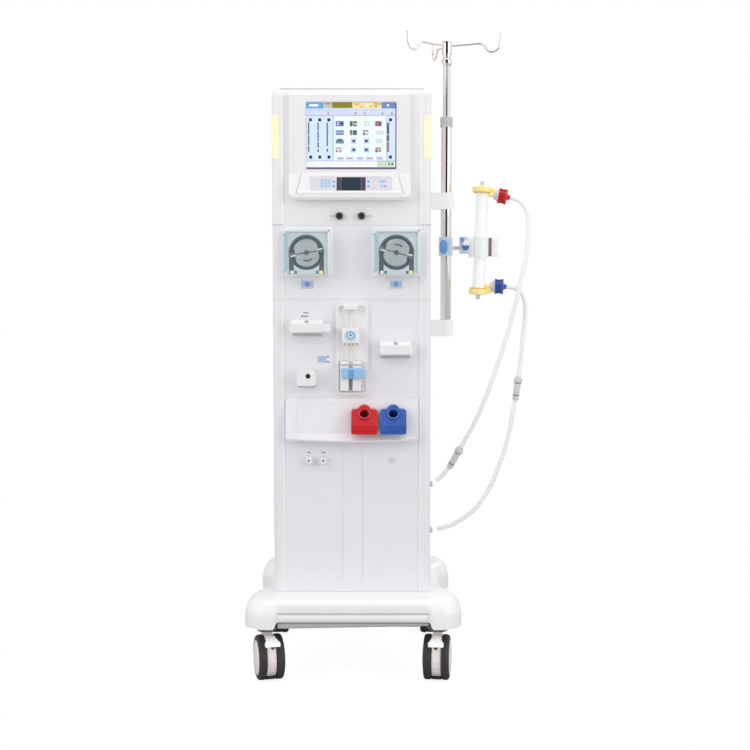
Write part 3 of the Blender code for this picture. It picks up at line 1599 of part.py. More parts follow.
def dialyser():
    """Dialyser: slim fibre housing and two end caps, each with a blood port and a side port.

    It leans with the clip, so it is built round an axis of its own.
    """
    axis = empty("dialyser_axis", (DIALYSER_X, POLE_Y, HOLDER_HEIGHT), (0, DIALYSER_LEAN, 0))
    low = DIALYSER_LOW - CAP_TALL / 2 - HOLDER_HEIGHT
    high = DIALYSER_TOP + CAP_TALL / 2 - HOLDER_HEIGHT
    body = [
        (0, low + 0.003),
        (DIALYSER_RADIUS, low + 0.003),
        (DIALYSER_RADIUS, high - 0.003),
        (0, high - 0.003),
    ]
    node("dialyser_body", turned(body, (0, 0, 0), sides=20), CLEAR, parent=axis)
    for end, height, way in (("top", high, 1), ("bottom", low, -1)):
        profile = [
            (0, -0.003 + GAP),
            (DIALYSER_RADIUS + GAP, -0.003 + GAP),
            (DIALYSER_RADIUS + GAP, -CAP_TALL),
            (CAP_RADIUS - 0.004, -CAP_TALL),
            (CAP_RADIUS, -CAP_TALL + 0.004),
            (CAP_RADIUS, -0.003),
            (CAP_RADIUS - 0.003, 0),
            (0.0048, 0.003),
            (0.0042, 0.013),
            (0, 0.013),
        ]
        shape = turned(profile, (0, 0, height), (0, 0, way), sides=20)
        cap = node(f"dialyser_cap_{end}", shape, CAP, parent=axis)
        start = DIALYSER_RADIUS + 0.0015
        fuse(cap, rod(*side_port(end), start, SIDE_PORT_REACH - GAP, SIDE_PORT_RADIUS, 16))
    connector("connector_red", "top", RED, axis)
    connector("connector_blue", "bottom", BLUE, axis)


def side_port(end):
    """Where a side port's line starts on the dialyser's axis, and its direction."""
    height, tilt = SIDE_PORTS[end]
    return (0, 0, height - HOLDER_HEIGHT), (math.cos(tilt), 0, math.sin(tilt))


def connector(name, end, material, axis):
    """Hose connector pushed on a side port, with a barb that the hose goes over."""
    length = CONNECTOR_LENGTH
    profile = [
        (0, 0),
        (0.0160, 0),
        (0.0175, 0.007),
        (0.0145, 0.010),
        (0.0145, length - 0.010),
        (0.0175, length - 0.006),
        (0.0160, length),
        (0.0060, length),
        (0.0060, length + CONNECTOR_TAIL),
        (0, length + CONNECTOR_TAIL),
    ]
    pushed = [(radius, SIDE_PORT_REACH + along) for radius, along in profile]
    node(name, turned(pushed, *side_port(end), 16), material, parent=axis)


# Routes of the hoses, as (x, y, z), from the connector down to the fitting on the side
RED_ROUTE = [
    (0.3913, 0.1580, 1.1612),
    (0.3964, 0.1580, 1.1603),
    (0.4100, 0.1579, 1.1556),
    (0.4215, 0.1574, 1.1470),
    (0.4298, 0.1566, 1.1352),
    (0.4340, 0.1555, 1.1214),
    (0.4355, 0.1535, 1.0980),
    (0.4355, 0.1515, 1.0600),
    (0.4320, 0.1495, 1.0190),
    (0.4240, 0.1470, 0.9820),
    (0.4150, 0.1450, 0.9450),
    (0.4080, 0.1440, 0.9070),
    (0.3980, 0.1440, 0.8700),
    (0.3810, 0.1440, 0.8070),
    (0.3590, 0.1440, 0.7380),
    (0.3340, 0.1450, 0.6680),
    (0.3080, 0.1480, 0.6050),
    (0.2670, 0.1530, 0.5290),
    (0.2470, 0.1560, 0.4930),
    (0.2260, 0.1580, 0.4650),
    (0.2100, 0.1580, 0.4510),
]
BLUE_ROUTE = [
    (0.3852, 0.1580, 0.9407),
    (0.3878, 0.1580, 0.9406),
    (0.4033, 0.1585, 0.9373),
    (0.4167, 0.1600, 0.9290),
    (0.4264, 0.1620, 0.9166),
    (0.4313, 0.1640, 0.9015),
    (0.4325, 0.1660, 0.8850),
    (0.4310, 0.1690, 0.8500),
    (0.4265, 0.1700, 0.8050),
    (0.4220, 0.1700, 0.7570),
    (0.4140, 0.1700, 0.6900),
    (0.4050, 0.1700, 0.6310),
    (0.3910, 0.1700, 0.5550),
    (0.3710, 0.1690, 0.4910),
    (0.3460, 0.1670, 0.4320),
    (0.3090, 0.1630, 0.3780),
    (0.2620, 0.1590, 0.3440),
    (0.2350, 0.1580, 0.3330),
    (0.2120, 0.1580, 0.3275),
]


def hose(name, route):
    curve = bpy.data.curves.new(name, "CURVE")
    curve.dimensions = "3D"
    curve.bevel_depth = HOSE_RADIUS
    curve.bevel_resolution = 2
    curve.use_fill_caps = True
    points = smooth(route, 2.2 * 2 * HOSE_RADIUS)
    spline = curve.splines.new("POLY")
    spline.points.add(len(points) - 1)
    for point, place in zip(spline.points, points):
        point.co = (*place, 1.0)
    curve.materials.append(HOSE)
    made = bpy.data.objects.new(name, curve)
    made.parent = MACHINE
    bpy.context.scene.collection.objects.link(made)


def coupling(name, route, share):
    """Inline coupling: a collar that clasps the hose part of the way down."""
    points = [Vector(point) for point in smooth(route, 0.002)]
    index = round(share * (len(points) - 1))
    along = (points[index + 6] - points[index - 6]).normalized()
    half = COUPLING_LENGTH / 2
    bore = HOSE_RADIUS + GAP * 3
    profile = [
        (bore, -half),
        (COUPLING_RADIUS - 0.0015, -half),
        (COUPLING_RADIUS - 0.0010, -half + 0.014),
        (COUPLING_RADIUS + 0.0020, -half + 0.016),
        (COUPLING_RADIUS + 0.0020, half - 0.018),
        (COUPLING_RADIUS - 0.0010, half - 0.016),
        (COUPLING_RADIUS - 0.0015, half),
        (bore, half),
    ]
    node(name, turned(profile, points[index], along, 16, hollow=True), CLEAR)


def hoses():
    hose("hose_red", RED_ROUTE)
    hose("hose_blue", BLUE_ROUTE)
    coupling("coupling_red", RED_ROUTE, RED_COUPLING_AT)
    coupling("coupling_blue", BLUE_ROUTE, BLUE_COUPLING_AT)


def casters():
    """Four casters; the front two have brakes and stand a little turned."""
    for corner, x, y, yaw, way in (
        ("front_left", -CASTER_X, FRONT_CASTER_Y, LEFT_CASTER_YAW, -1),
        ("front_right", CASTER_X, FRONT_CASTER_Y, RIGHT_CASTER_YAW, -1),
        ("rear_left", -CASTER_X, REAR_CASTER_Y, 0.0, 1),
        ("rear_right", CASTER_X, REAR_CASTER_Y, 0.0, 1),
    ):
        caster(corner, x, y, yaw, way)


base_cover()
chassis()
inner_units()
casters()
side_cover("left_side_cover", -1)
right_side_fittings(side_cover("right_side_cover", 1))
rear_cover()
head_cover()
lamps()
bezel_and_screen()
pressure_ports()
pumps()
module_panel()
syringe_pump()
line_block("air_detector", AIR_LEFT, AIR_RIGHT, AIR_LOW, AIR_TOP, -1, AIR_TAB)
line_block("line_clamp", LINE_LEFT, LINE_RIGHT, LINE_LOW, LINE_TOP, 1, None)
optical_detector()
connector_shelf()
concentrate_port("acid_port", ACID_X, RED)
concentrate_port("bicarbonate_port", BICARBONATE_X, BLUE)
sample_ports()
lower_panel()
pole()
dialyser_holder()
dialyser()
hoses()
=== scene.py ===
"""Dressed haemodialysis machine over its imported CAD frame: camera, hoses, materials and detail.

Lengths are metres. Shapes are built in the machine's own frame, as in the part's source: X to
the viewer's right from the column's middle, Y back from its front, Z up from the floor.
"""

import math

import bmesh
import bpy
from mathutils import Matrix, Vector


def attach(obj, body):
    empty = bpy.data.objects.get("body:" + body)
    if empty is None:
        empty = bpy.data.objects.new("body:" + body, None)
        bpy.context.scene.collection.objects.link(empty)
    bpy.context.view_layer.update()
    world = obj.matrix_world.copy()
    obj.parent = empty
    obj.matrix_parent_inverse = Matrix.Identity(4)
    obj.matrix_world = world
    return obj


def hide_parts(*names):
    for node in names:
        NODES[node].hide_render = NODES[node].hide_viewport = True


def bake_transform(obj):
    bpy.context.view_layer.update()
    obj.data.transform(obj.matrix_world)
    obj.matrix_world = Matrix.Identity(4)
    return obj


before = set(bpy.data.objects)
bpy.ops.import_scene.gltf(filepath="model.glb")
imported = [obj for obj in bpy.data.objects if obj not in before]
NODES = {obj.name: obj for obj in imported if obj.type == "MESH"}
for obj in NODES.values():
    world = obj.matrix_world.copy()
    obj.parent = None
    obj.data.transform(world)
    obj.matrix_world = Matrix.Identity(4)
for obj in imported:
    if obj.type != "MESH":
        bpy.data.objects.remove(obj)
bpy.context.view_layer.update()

# The machine's frame in the world, as in the part's source
OFFSET = Vector((-0.05166, -0.167, 0.0))
MACHINE = Matrix.Translation(OFFSET)

# Sizes taken over from the part's source
HALF = 0.189
FIELD = 0.004
HEAD_TOP = 1.412
HEAD_ROUND = 0.018
COLUMN_DEPTH = 0.4
AXLE = 0.05432
TRAIL = 0.036
LIP_LOW = 0.132
COLLAR_LOW = 0.112
PUMP_X = 0.106
PUMP_HEIGHT = 1.0265
PUMP_FRONT = -0.034
RACE_BACK = -0.01
RACE_RADIUS = 0.041
LEG_INNER = 0.03
ROTOR_RADIUS = 0.033
ROTOR_FLAT = 0.027
ROTOR_FRONT = -0.03
ROD_X = -0.0025
POLE_X = 0.232
POLE_Y = 0.158
POLE_RADIUS = 0.013
INNER_TOP = 1.543
HOOK_LENGTH = 0.135
HOOK_HEADING = math.radians(-17.4)
HOLDER_HEIGHT = 1.037
DIALYSER_X = 0.3165
DIALYSER_LEAN = math.radians(1.9)
DIALYSER_RADIUS = 0.0165
DIALYSER_LOW = 0.922
DIALYSER_HIGH = 1.189
CAP_RADIUS = 0.0245
HOSE_RADIUS = 0.0055
COUPLING_LENGTH = 0.06
COUPLING_SHARES = {"red": 0.846, "blue": 0.484}  # of the hose's length, from the dialyser

# Camera: the photograph's place and angle, with a focal length of 1400 of its 750 pixels
camera = bpy.data.objects.new("camera", bpy.data.cameras.new("camera"))
camera.data.sensor_width = 36.0
camera.data.lens = 1400 / 750 * 36.0
camera.data.clip_end = 60.0
camera.location = (0.00384, -3.509, 1.044)
camera.rotation_euler = (math.radians(84.7), 0.0, 0.0)
bpy.context.scene.collection.objects.link(camera)
bpy.context.scene.camera = camera
bpy.context.scene.view_settings.view_transform = "Standard"


# Shapes
def mm(*numbers, size=2):
    """Points in metres from a row of millimetres, size numbers to a point."""
    starts = range(0, len(numbers), size)
    return [tuple(number / 1000 for number in numbers[start : start + size]) for start in starts]


def fillet(corners, radius=0.0, steps=6):
    """Closed outline of the corners, each rounded; a corner may carry its own radius."""
    outline = []
    for index, corner in enumerate(corners):
        here = Vector(corner[:2])
        back = Vector(corners[index - 1][:2]) - here
        ahead = Vector(corners[(index + 1) % len(corners)][:2]) - here
        wanted = corner[2] if len(corner) > 2 else radius
        if wanted <= 0:
            outline.append(tuple(here))
            continue
        half = back.angle(ahead) / 2
        reach = min(wanted / math.tan(half), 0.48 * back.length, 0.48 * ahead.length)
        own = reach * math.tan(half)
        middle = (back.normalized() + ahead.normalized()).normalized()
        centre = here + middle * own / math.sin(half)
        spoke = here + back.normalized() * reach - centre
        last = here + ahead.normalized() * reach - centre
        sweep = math.atan2(spoke.cross(last), spoke.dot(last))
        for step in range(steps + 1):
            outline.append(tuple(centre + Matrix.Rotation(sweep * step / steps, 2) @ spoke))
    return outline


def rectangle(left, right, low, high, radius=0.0, steps=5):
    return fillet([(left, low), (right, low), (right, high), (left, high)], radius, steps)


def arc(centre, radius, start, end, steps):
    """Points along an arc, with angles in degrees."""
    points = []
    for step in range(steps + 1):
        angle = math.radians(start + (end - start) * step / steps)
        points.append((centre[0] + radius * math.cos(angle), centre[1] + radius * math.sin(angle)))
    return points


def prism(outline, low, high, along="Z", edge=0.0, steps=2):
    """Outline pushed from low to high along an axis, with its edges rounded by edge."""
    order = {"X": (2, 0, 1), "Y": (0, 2, 1), "Z": (0, 1, 2)}[along]
    shape = bmesh.new()
    ring = []
    for u, v in outline:
        point = (u, v, low)
        ring.append(shape.verts.new([point[slot] for slot in order]))
    face = shape.faces.new(ring)
    grown = bmesh.ops.extrude_face_region(shape, geom=[face])["geom"]
    far = [item for item in grown if isinstance(item, bmesh.types.BMVert)]
    step = (0.0, 0.0, high - low)
    bmesh.ops.translate(shape, verts=far, vec=[step[slot] for slot in order])
    bmesh.ops.recalc_face_normals(shape, faces=shape.faces)
    if edge:
        sharp = [item for item in shape.edges if item.calc_face_angle(0.0) > 0.6]
        bmesh.ops.bevel(shape, geom=sharp, offset=edge, segments=steps, profile=0.5,
            affect="EDGES")
    return shape


def block(x, y, z, edge=0.0008, steps=2):
    corners = [(x[0], y[0]), (x[1], y[0]), (x[1], y[1]), (x[0], y[1])]
    return prism(corners, z[0], z[1], "Z", edge, steps)


def loft(rings, closed=True):
    """Shape through rings of equally many points, with both ends filled."""
    shape = bmesh.new()
    loops = [[shape.verts.new(point) for point in ring] for ring in rings]
    for low, high in zip(loops, loops[1:]):
        for index in range(len(low)):
            shape.faces.new((low[index - 1], low[index], high[index], high[index - 1]))
    if closed:
        shape.faces.new(loops[0])
        shape.faces.new(loops[-1])
    bmesh.ops.recalc_face_normals(shape, faces=shape.faces)
    return shape


def turned(profile, centre=(0, 0, 0), along=(0, 0, 1), sides=48):
    """Surface of revolution of (radius, height) points round an axis through centre."""
    shape = bmesh.new()
    points = [shape.verts.new((radius, 0, height)) for radius, height in profile]
    edges = [shape.edges.new(pair) for pair in zip(points, points[1:])]
    bmesh.ops.spin(shape, geom=points + edges, axis=(0, 0, 1), cent=(0, 0, 0), angle=2 * math.pi,
        steps=sides)
    bmesh.ops.remove_doubles(shape, verts=shape.verts, dist=1e-6)
    bmesh.ops.recalc_face_normals(shape, faces=shape.faces)
    aim = Vector((0, 0, 1)).rotation_difference(Vector(along)).to_matrix().to_4x4()
    bmesh.ops.transform(shape, matrix=Matrix.Translation(centre) @ aim, verts=shape.verts)
    return shape


def button(centre, along, radius, low, high, edge=0.0006, sides=40):
    """Short round body with rounded rims, from low to high along its axis."""
    profile = [(0, low), (radius - edge, low), (radius, low + edge)]
    profile += [(radius, high - edge), (radius - 0.3 * edge, high - 0.3 * edge)]
    profile += [(radius - edge, high), (0, high)]
    return turned(profile, centre, along, sides)


def swept(path, radius, sides=16, capped=True):
    """Round bar along a path; radius may be one number or one for each point."""
    points = [Vector(point) for point in path]
    sizes = radius if isinstance(radius, list) else [radius] * len(points)
    heading = (points[1] - points[0]).normalized()
    spoke = heading.orthogonal().normalized()
    rings = []
    for index, point in enumerate(points):
        before = points[max(index - 1, 0)]
        after = points[min(index + 1, len(points) - 1)]
        turned_to = (after - before).normalized()
        spoke = heading.rotation_difference(turned_to) @ spoke
        heading = turned_to
        ring = []
        for side in range(sides):
            turn = Matrix.Rotation(2 * math.pi * side / sides, 3, heading)
            ring.append(tuple(point + turn @ spoke * sizes[index]))
        rings.append(ring)
    return loft(rings, capped)


def smooth(points, spacing):
    """A smooth curve through the points, read off about every spacing metres."""
    ends = [2 * Vector(points[0]) - Vector(points[1]), 2 * Vector(points[-1]) - Vector(points[-2])]
    knots = [ends[0]] + [Vector(point) for point in points] + [ends[1]]
    fine = []
    for index in range(1, len(knots) - 2):
        a, b, c, d = knots[index - 1 : index + 3]
        for step in range(12):
            t = step / 12
            bend = 2 * b + (c - a) * t + (2 * a - 5 * b + 4 * c - d) * t * t
            fine.append((bend + (3 * b - a - 3 * c + d) * t**3) / 2)
    fine.append(knots[-2])
    length = sum((after - before).length for before, after in zip(fine, fine[1:]))
    pieces = max(2, round(length / spacing))
    read = [fine[0]]
    run = 0.0
    for before, after in zip(fine, fine[1:]):
        run += (after - before).length
        if run >= length * len(read) / pieces - 1e-9 and len(read) < pieces:
            read.append(after)
    read.append(fine[-1])
    return read


def inset(outline, distance):
    """A closed outline moved inward along the mean of its sides' normals."""
    made = []
    for index, point in enumerate(outline):
        here = Vector(point)
        before = (here - Vector(outline[index - 1])).normalized()
        after = (Vector(outline[(index + 1) % len(outline)]) - here).normalized()
        along = (before + after).normalized()
        inward = Vector((-along.y, along.x))
        made.append(tuple(here + inward * distance / max(0.5, along.dot(after))))
    return made


def dense(outline, spacing):
    """A closed outline with extra points along its long sides."""
    made = []
    for index, point in enumerate(outline):
        here, ahead = Vector(point), Vector(outline[(index + 1) % len(outline)])
        pieces = max(1, round((ahead - here).length / spacing))
        made += [tuple(here.lerp(ahead, step / pieces)) for step in range(pieces)]
    return made


def pour(shape, whole):
    """Adds a shape to another and frees it."""
    spare = bpy.data.meshes.new("spare")
    shape.to_mesh(spare)
    shape.free()
    whole.from_mesh(spare)
    bpy.data.meshes.remove(spare)


def joined(*shapes):
    """Several shapes as one mesh."""
    whole = bmesh.new()
    for shape in shapes:
        pour(shape, whole)
    return whole


def moved(shape, matrix):
    bmesh.ops.transform(shape, matrix=matrix, verts=shape.verts)
    return shape


def on_field(outline, proud=0.0002, sunk=0.0004):
    """Thin print of an outline on the front field."""
    return prism(outline, FIELD - proud, FIELD + sunk, "Y")


def bare_object(name, shape, materials, place=None):
    """Object of a shape in the machine's frame, or in the frame that place gives there."""
    mesh = bpy.data.meshes.new(name)
    shape.to_mesh(mesh)
    shape.free()
    mesh.transform(MACHINE @ (place or Matrix.Identity(4)))
    mesh.shade_smooth()
    mesh.set_sharp_from_angle(angle=math.radians(38))
    for material in materials if isinstance(materials, list) else [materials]:
        mesh.materials.append(material)
    made = bpy.data.objects.new(name, mesh)
    bpy.context.scene.collection.objects.link(made)
    return made


def piece(name, shape, material, body="machine", replaces=(), place=None):
    """A shown piece that rides on a body and may stand for CAD nodes."""
    made = bare_object(name, shape, material, place)
    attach(made, body)
    if replaces:
        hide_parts(*replaces)
    return made


def prints(name, items, body="machine", place=None):
    """Printed marks as one thin piece: (shape, material) pairs."""
    whole = bmesh.new()
    palette = []
    for shape, material in items:
        if material not in palette:
            palette.append(material)
        for face in shape.faces:
            face.material_index = palette.index(material)
        pour(shape, whole)
    return piece(name, whole, palette, body, (), place)


# Materials
def linear(colour):
    return [*((channel / 255) ** 2.2 for channel in colour), 1.0]


def wire(tree, *links):
    """Links between nodes, each as a node, its output, the next node and its input."""
    for source, output, target, socket in links:
        tree.links.new(source.outputs[output], target.inputs[socket])


def node_of(tree, kind, **values):
    made = tree.nodes.new(kind)
    for name, value in values.items():
        if hasattr(made, name):
            setattr(made, name, value)
        else:
            made.inputs[name].default_value = value
    return made


SOCKETS = {"coat": "Coat Weight", "metal": "Metallic", "alpha": "Alpha",
    "glow": "Emission Strength", "glow_colour": "Emission Color"}


def surface(name, colour, roughness, tint=None, **more):
    """Principled material with a mottle in its colour, a varied roughness and a fine bump.

    tint is the mottle's other colour. more: mottle (its size per metre), stretch (the grain's
    scale on each axis), spread (of roughness), grain (per metre), bump (0 to 1), depth (of
    the bump) and the names in SOCKETS.
    """
    made = bpy.data.materials.new(name)
    made.use_nodes = True
    tree = made.node_tree
    shader = tree.nodes["Principled BSDF"]
    if "glow" in more:
        more.setdefault("glow_colour", (1.0, 1.0, 1.0, 1.0))
    for key, socket in SOCKETS.items():
        if key in more:
            shader.inputs[socket].default_value = more[key]
    where = node_of(tree, "ShaderNodeTexCoord")
    scale = node_of(tree, "ShaderNodeMapping")
    scale.inputs["Scale"].default_value = more.get("stretch", (1.0, 1.0, 1.0))
    wire(tree, (where, "Object", scale, "Vector"))

    broad = node_of(tree, "ShaderNodeTexNoise", Scale=more.get("mottle", 9.0), Detail=3.0)
    blend = node_of(tree, "ShaderNodeMix", data_type="RGBA")
    other = tint or [max(0, channel - 5) for channel in colour]
    blend.inputs[6].default_value = linear(colour)
    blend.inputs[7].default_value = linear(other)
    wire(tree, (scale, "Vector", broad, "Vector"), (broad, "Fac", blend, 0),
        (blend, 2, shader, "Base Color"))

    fine = node_of(tree, "ShaderNodeTexNoise", Scale=more.get("grain", 1400.0), Detail=2.0)
    spread = more.get("spread", 0.05)
    reach = node_of(tree, "ShaderNodeMapRange")
    reach.inputs["To Min"].default_value = roughness - spread
    reach.inputs["To Max"].default_value = roughness + spread
    wire(tree, (scale, "Vector", fine, "Vector"), (broad, "Fac", reach, "Value"),
        (reach, "Result", shader, "Roughness"))
    if more.get("bump", 0.15):
        bump = node_of(tree, "ShaderNodeBump", Strength=more.get("bump", 0.15))
        bump.inputs["Distance"].default_value = more.get("depth", 0.0002)
        wire(tree, (fine, "Fac", bump, "Height"), (bump, "Normal", shader, "Normal"))
    made.diffuse_color = linear(colour)
    return made


def lit(name, colour, glow=0.12, **more):
    """Backlit print: a surface that also glows a little in its own colour."""
    return surface(name, colour, 0.25, glow=glow, glow_colour=linear(colour), bump=0, **more)


WHITE = surface("white_plastic", (243, 243, 244), 0.34, (240, 239, 241), mottle=7.0, bump=0.12)
# Brighter than the plain white and glowing a little: painted light that lifts the base, brackets,
# beads, flanges and lips, which render too grey under the lamps
GLOWING_WHITE = surface("bright_plastic", (249, 249, 250), 0.3, (246, 245, 247), mottle=9.0, bump=0.1,
    glow=0.03)
# Glowing white for the syringe well's floor: painted light that lifts a recess which renders in
# shade
GLOWING_WELL_WHITE = surface("well_floor_painted_light", (249, 248, 250), 0.3, (246, 244, 248), mottle=9.0, bump=0.1,
    glow=0.15, glow_colour=(1.0, 0.985, 1.0, 1.0))
PANEL = surface("panel_plastic", (241, 240, 243), 0.42, (238, 236, 240), mottle=6.0, bump=0.22,
    grain=1100.0)
SHELL = surface("painted_shell", (240, 240, 242), 0.38, (237, 236, 239), mottle=5.0, bump=0.3,
    grain=650.0, depth=0.00015)
SEAM = surface("seam_shadow", (186, 182, 188), 0.6, bump=0.1)
# Lavender grey for painted shade in the syringe seat's notch
GROOVE_SHADE_GREY = surface("groove_painted_shade", (176, 164, 172), 0.6, (160, 148, 156), mottle=50.0)
CHROME = surface("polished_steel", (244, 240, 237), 0.07, (226, 220, 216), mottle=26.0,
    stretch=(1.0, 1.0, 0.12), spread=0.02, bump=0.02, metal=1.0)
BRUSHED = surface("brushed_steel", (176, 172, 172), 0.3, (150, 146, 148), mottle=60.0,
    stretch=(0.05, 1.0, 1.0), spread=0.1, bump=0.2, metal=0.9)
# The bumper strip glows a little: painted light on the steel strip
GLOWING_TRIM = surface("bumper_steel", (206, 202, 203), 0.34, (190, 186, 188), mottle=60.0,
    stretch=(0.05, 1.0, 1.0), spread=0.1, bump=0.2, metal=0.2, glow=0.16,
    glow_colour=(1.0, 0.98, 0.985, 1.0))
GASKET = surface("bumper_rubber", (176, 171, 172), 0.6, (164, 159, 161), mottle=60.0)
FRAME_STEEL = surface("frame_paint", (126, 124, 126), 0.45, (112, 110, 112), bump=0.35,
    grain=500.0, metal=0.3)
# Grey for painted shade: the feet under the line blocks and the groove above the base's lip band;
# on the pole's collar it is the collar's own grey
SHADE_GREY_AND_COLLAR = surface("block_foot_painted_shade", (206, 203, 208), 0.5, (196, 193, 199), mottle=30.0)
COLLAR = surface("caster_zinc", (164, 148, 142), 0.36, (138, 122, 118), mottle=60.0, spread=0.08,
    metal=0.55)
# Glows a little: painted light on the caster cheeks and the clip's handle
GLOWING_FORK = surface("caster_cheek", (250, 243, 241), 0.4, (240, 231, 229), mottle=35.0, bump=0.2,
    glow=0.1, glow_colour=linear((250, 238, 234)))
TYRE = surface("tyre_rubber", (52, 50, 53), 0.62, (66, 63, 66), mottle=40.0, bump=0.5, grain=800.0,
    depth=0.0004)
# Glows a little: painted light on the hubs
GLOWING_HUB = surface("caster_hub", (243, 237, 233), 0.36, (234, 226, 222), mottle=30.0, glow=0.06,
    glow_colour=linear((244, 236, 231)))
# Glows: painted light on the brake pedals, which sit in the base's shade
GLOWING_PEDAL = surface("brake_pedal", (251, 249, 247), 0.34, (246, 243, 240), mottle=40.0, bump=0.15,
    glow=0.3, glow_colour=linear((250, 247, 243)))
RUST = surface("brake_shoe", (112, 92, 84), 0.6, (88, 70, 62), mottle=90.0, bump=0.4)
DARK = surface("dark_plastic", (58, 58, 61), 0.42, (70, 70, 74), bump=0.3)
BLACK = surface("black_rubber", (34, 35, 38), 0.55, (46, 46, 50), bump=0.4)
TEAL = surface("pump_housing", (214, 228, 230), 0.28, (204, 220, 223), mottle=22.0, bump=0.1,
    coat=0.3)
TRACK = surface("pump_track", (84, 98, 110), 0.35, (104, 118, 130), mottle=50.0, bump=0.2)
TRACK_WALL = surface("pump_track_wall", (112, 124, 138), 0.3, (140, 150, 160), mottle=60.0)
ROTOR = surface("rotor_metal", (196, 204, 204), 0.34, (178, 188, 190), mottle=40.0, spread=0.06,
    stretch=(1.0, 0.2, 1.0), bump=0.2, metal=0.15)
ARM = surface("rotor_arm", (78, 80, 86), 0.4, (98, 98, 102), bump=0.3)
HUB_BROWN = surface("rotor_hub", (96, 80, 76), 0.4, (74, 62, 60), bump=0.3)
CLEAR = surface("clear_cover", (206, 228, 236), 0.1, (214, 234, 240), spread=0.03, bump=0.03,
    alpha=0.07, coat=0.1)
CYAN = surface("cover_cyan", (188, 224, 232), 0.2, (174, 214, 224), mottle=60.0, bump=0.05,
    alpha=0.35)
FROSTED = surface("cover_frame", (240, 246, 246), 0.25, (232, 240, 241), bump=0.1, alpha=0.9)
PALE_BLUE = surface("pale_blue_plastic", (162, 206, 242), 0.3, (150, 196, 236), mottle=30.0,
    coat=0.3)
ICE = surface("ice_blue_plastic", (216, 229, 242), 0.28, (200, 218, 238), mottle=44.0, coat=0.3)
# Glows a little: painted light on the dialyser clip
GLOWING_CLIP_WHITE = surface("clip_white", (246, 249, 249), 0.28, (238, 243, 243), mottle=30.0, glow=0.05)
KNOB = surface("knob_blue", (122, 172, 222), 0.32, (104, 156, 212), mottle=44.0, coat=0.3)
DEEP_BLUE = surface("clamp_blue", (88, 122, 200), 0.32, (74, 106, 186), mottle=30.0, coat=0.3)
BLUE = surface("blue_plastic", (58, 98, 182), 0.3, (48, 84, 164), mottle=28.0, coat=0.35)
RED = surface("red_plastic", (214, 34, 44), 0.3, (196, 26, 36), mottle=28.0, coat=0.35)
WELL = surface("port_well", (40, 26, 34), 0.5, (54, 36, 44))
# Glows in warm yellow: painted light on the dialyser's caps, bridges and arms
GLOWING_CAP = surface("cap_yellow", (254, 238, 176), 0.24, (252, 228, 142), mottle=45.0, bump=0.08,
    coat=0.4, glow=0.12, glow_colour=linear((255, 232, 150)))
POTTING = surface("cap_potting", (238, 202, 84), 0.4, (226, 182, 70), mottle=80.0)
TUBE = surface("dialyser_shell", (226, 230, 232), 0.1, (220, 225, 228), spread=0.02, bump=0.02,
    alpha=0.14, coat=0.1)
# Glows: painted light on the fibre bundle inside the clear housing
GLOWING_FIBRE = surface("fibre_bundle", (254, 254, 253), 0.5, (240, 240, 240), mottle=900.0, grain=1800.0,
    stretch=(1.0, 1.0, 0.02), bump=0.3, depth=0.0003, glow=0.22)
# Glows a little: painted light on the hoses
GLOWING_HOSE = surface("hose_silicone", (243, 243, 244), 0.3, (236, 237, 238), mottle=24.0, bump=0.1,
    coat=0.2, glow=0.07)
COUPLING = surface("coupling_clear", (224, 221, 225), 0.22, (206, 202, 208), mottle=70.0, coat=0.3)
LAMP = surface("lamp_yellow", (254, 249, 214), 0.3, (253, 245, 200), mottle=20.0, bump=0.1,
    glow=0.1, glow_colour=linear((255, 240, 190)))
# Grey for the clip's jaw: partly the jaw, partly painted shade in the notch between ring and
# handle
JAW_NOTCH_SHADE = surface("clip_jaw_painted_shade", (130, 126, 130), 0.5, (112, 108, 112), mottle=80.0)
IVORY = surface("syringe_rod", (240, 237, 231), 0.28, (230, 226, 219), mottle=60.0)
# Tan with darker mottle for the carriage's claws: partly their colour, partly the painted shade
# line under the release button
CLAW_TAN_AND_SHADE = surface("carriage_claw_and_painted_shade", (214, 190, 170), 0.4, (168, 140, 120), mottle=90.0)
ICON_BACK = surface("icon_lavender", (206, 210, 232), 0.35, bump=0)
ICON_BLUE = surface("icon_blue", (112, 168, 226), 0.35, bump=0)
ICON_SOFT = surface("icon_soft_blue", (166, 204, 234), 0.35, bump=0)
MARK = surface("mark_grey", (138, 138, 144), 0.5, bump=0)
FILM = surface("label_film", (241, 240, 244), 0.36, (237, 236, 241), bump=0.12)
KEYPAD = surface("keypad_film", (226, 223, 231), 0.38, (221, 217, 227), bump=0.15)


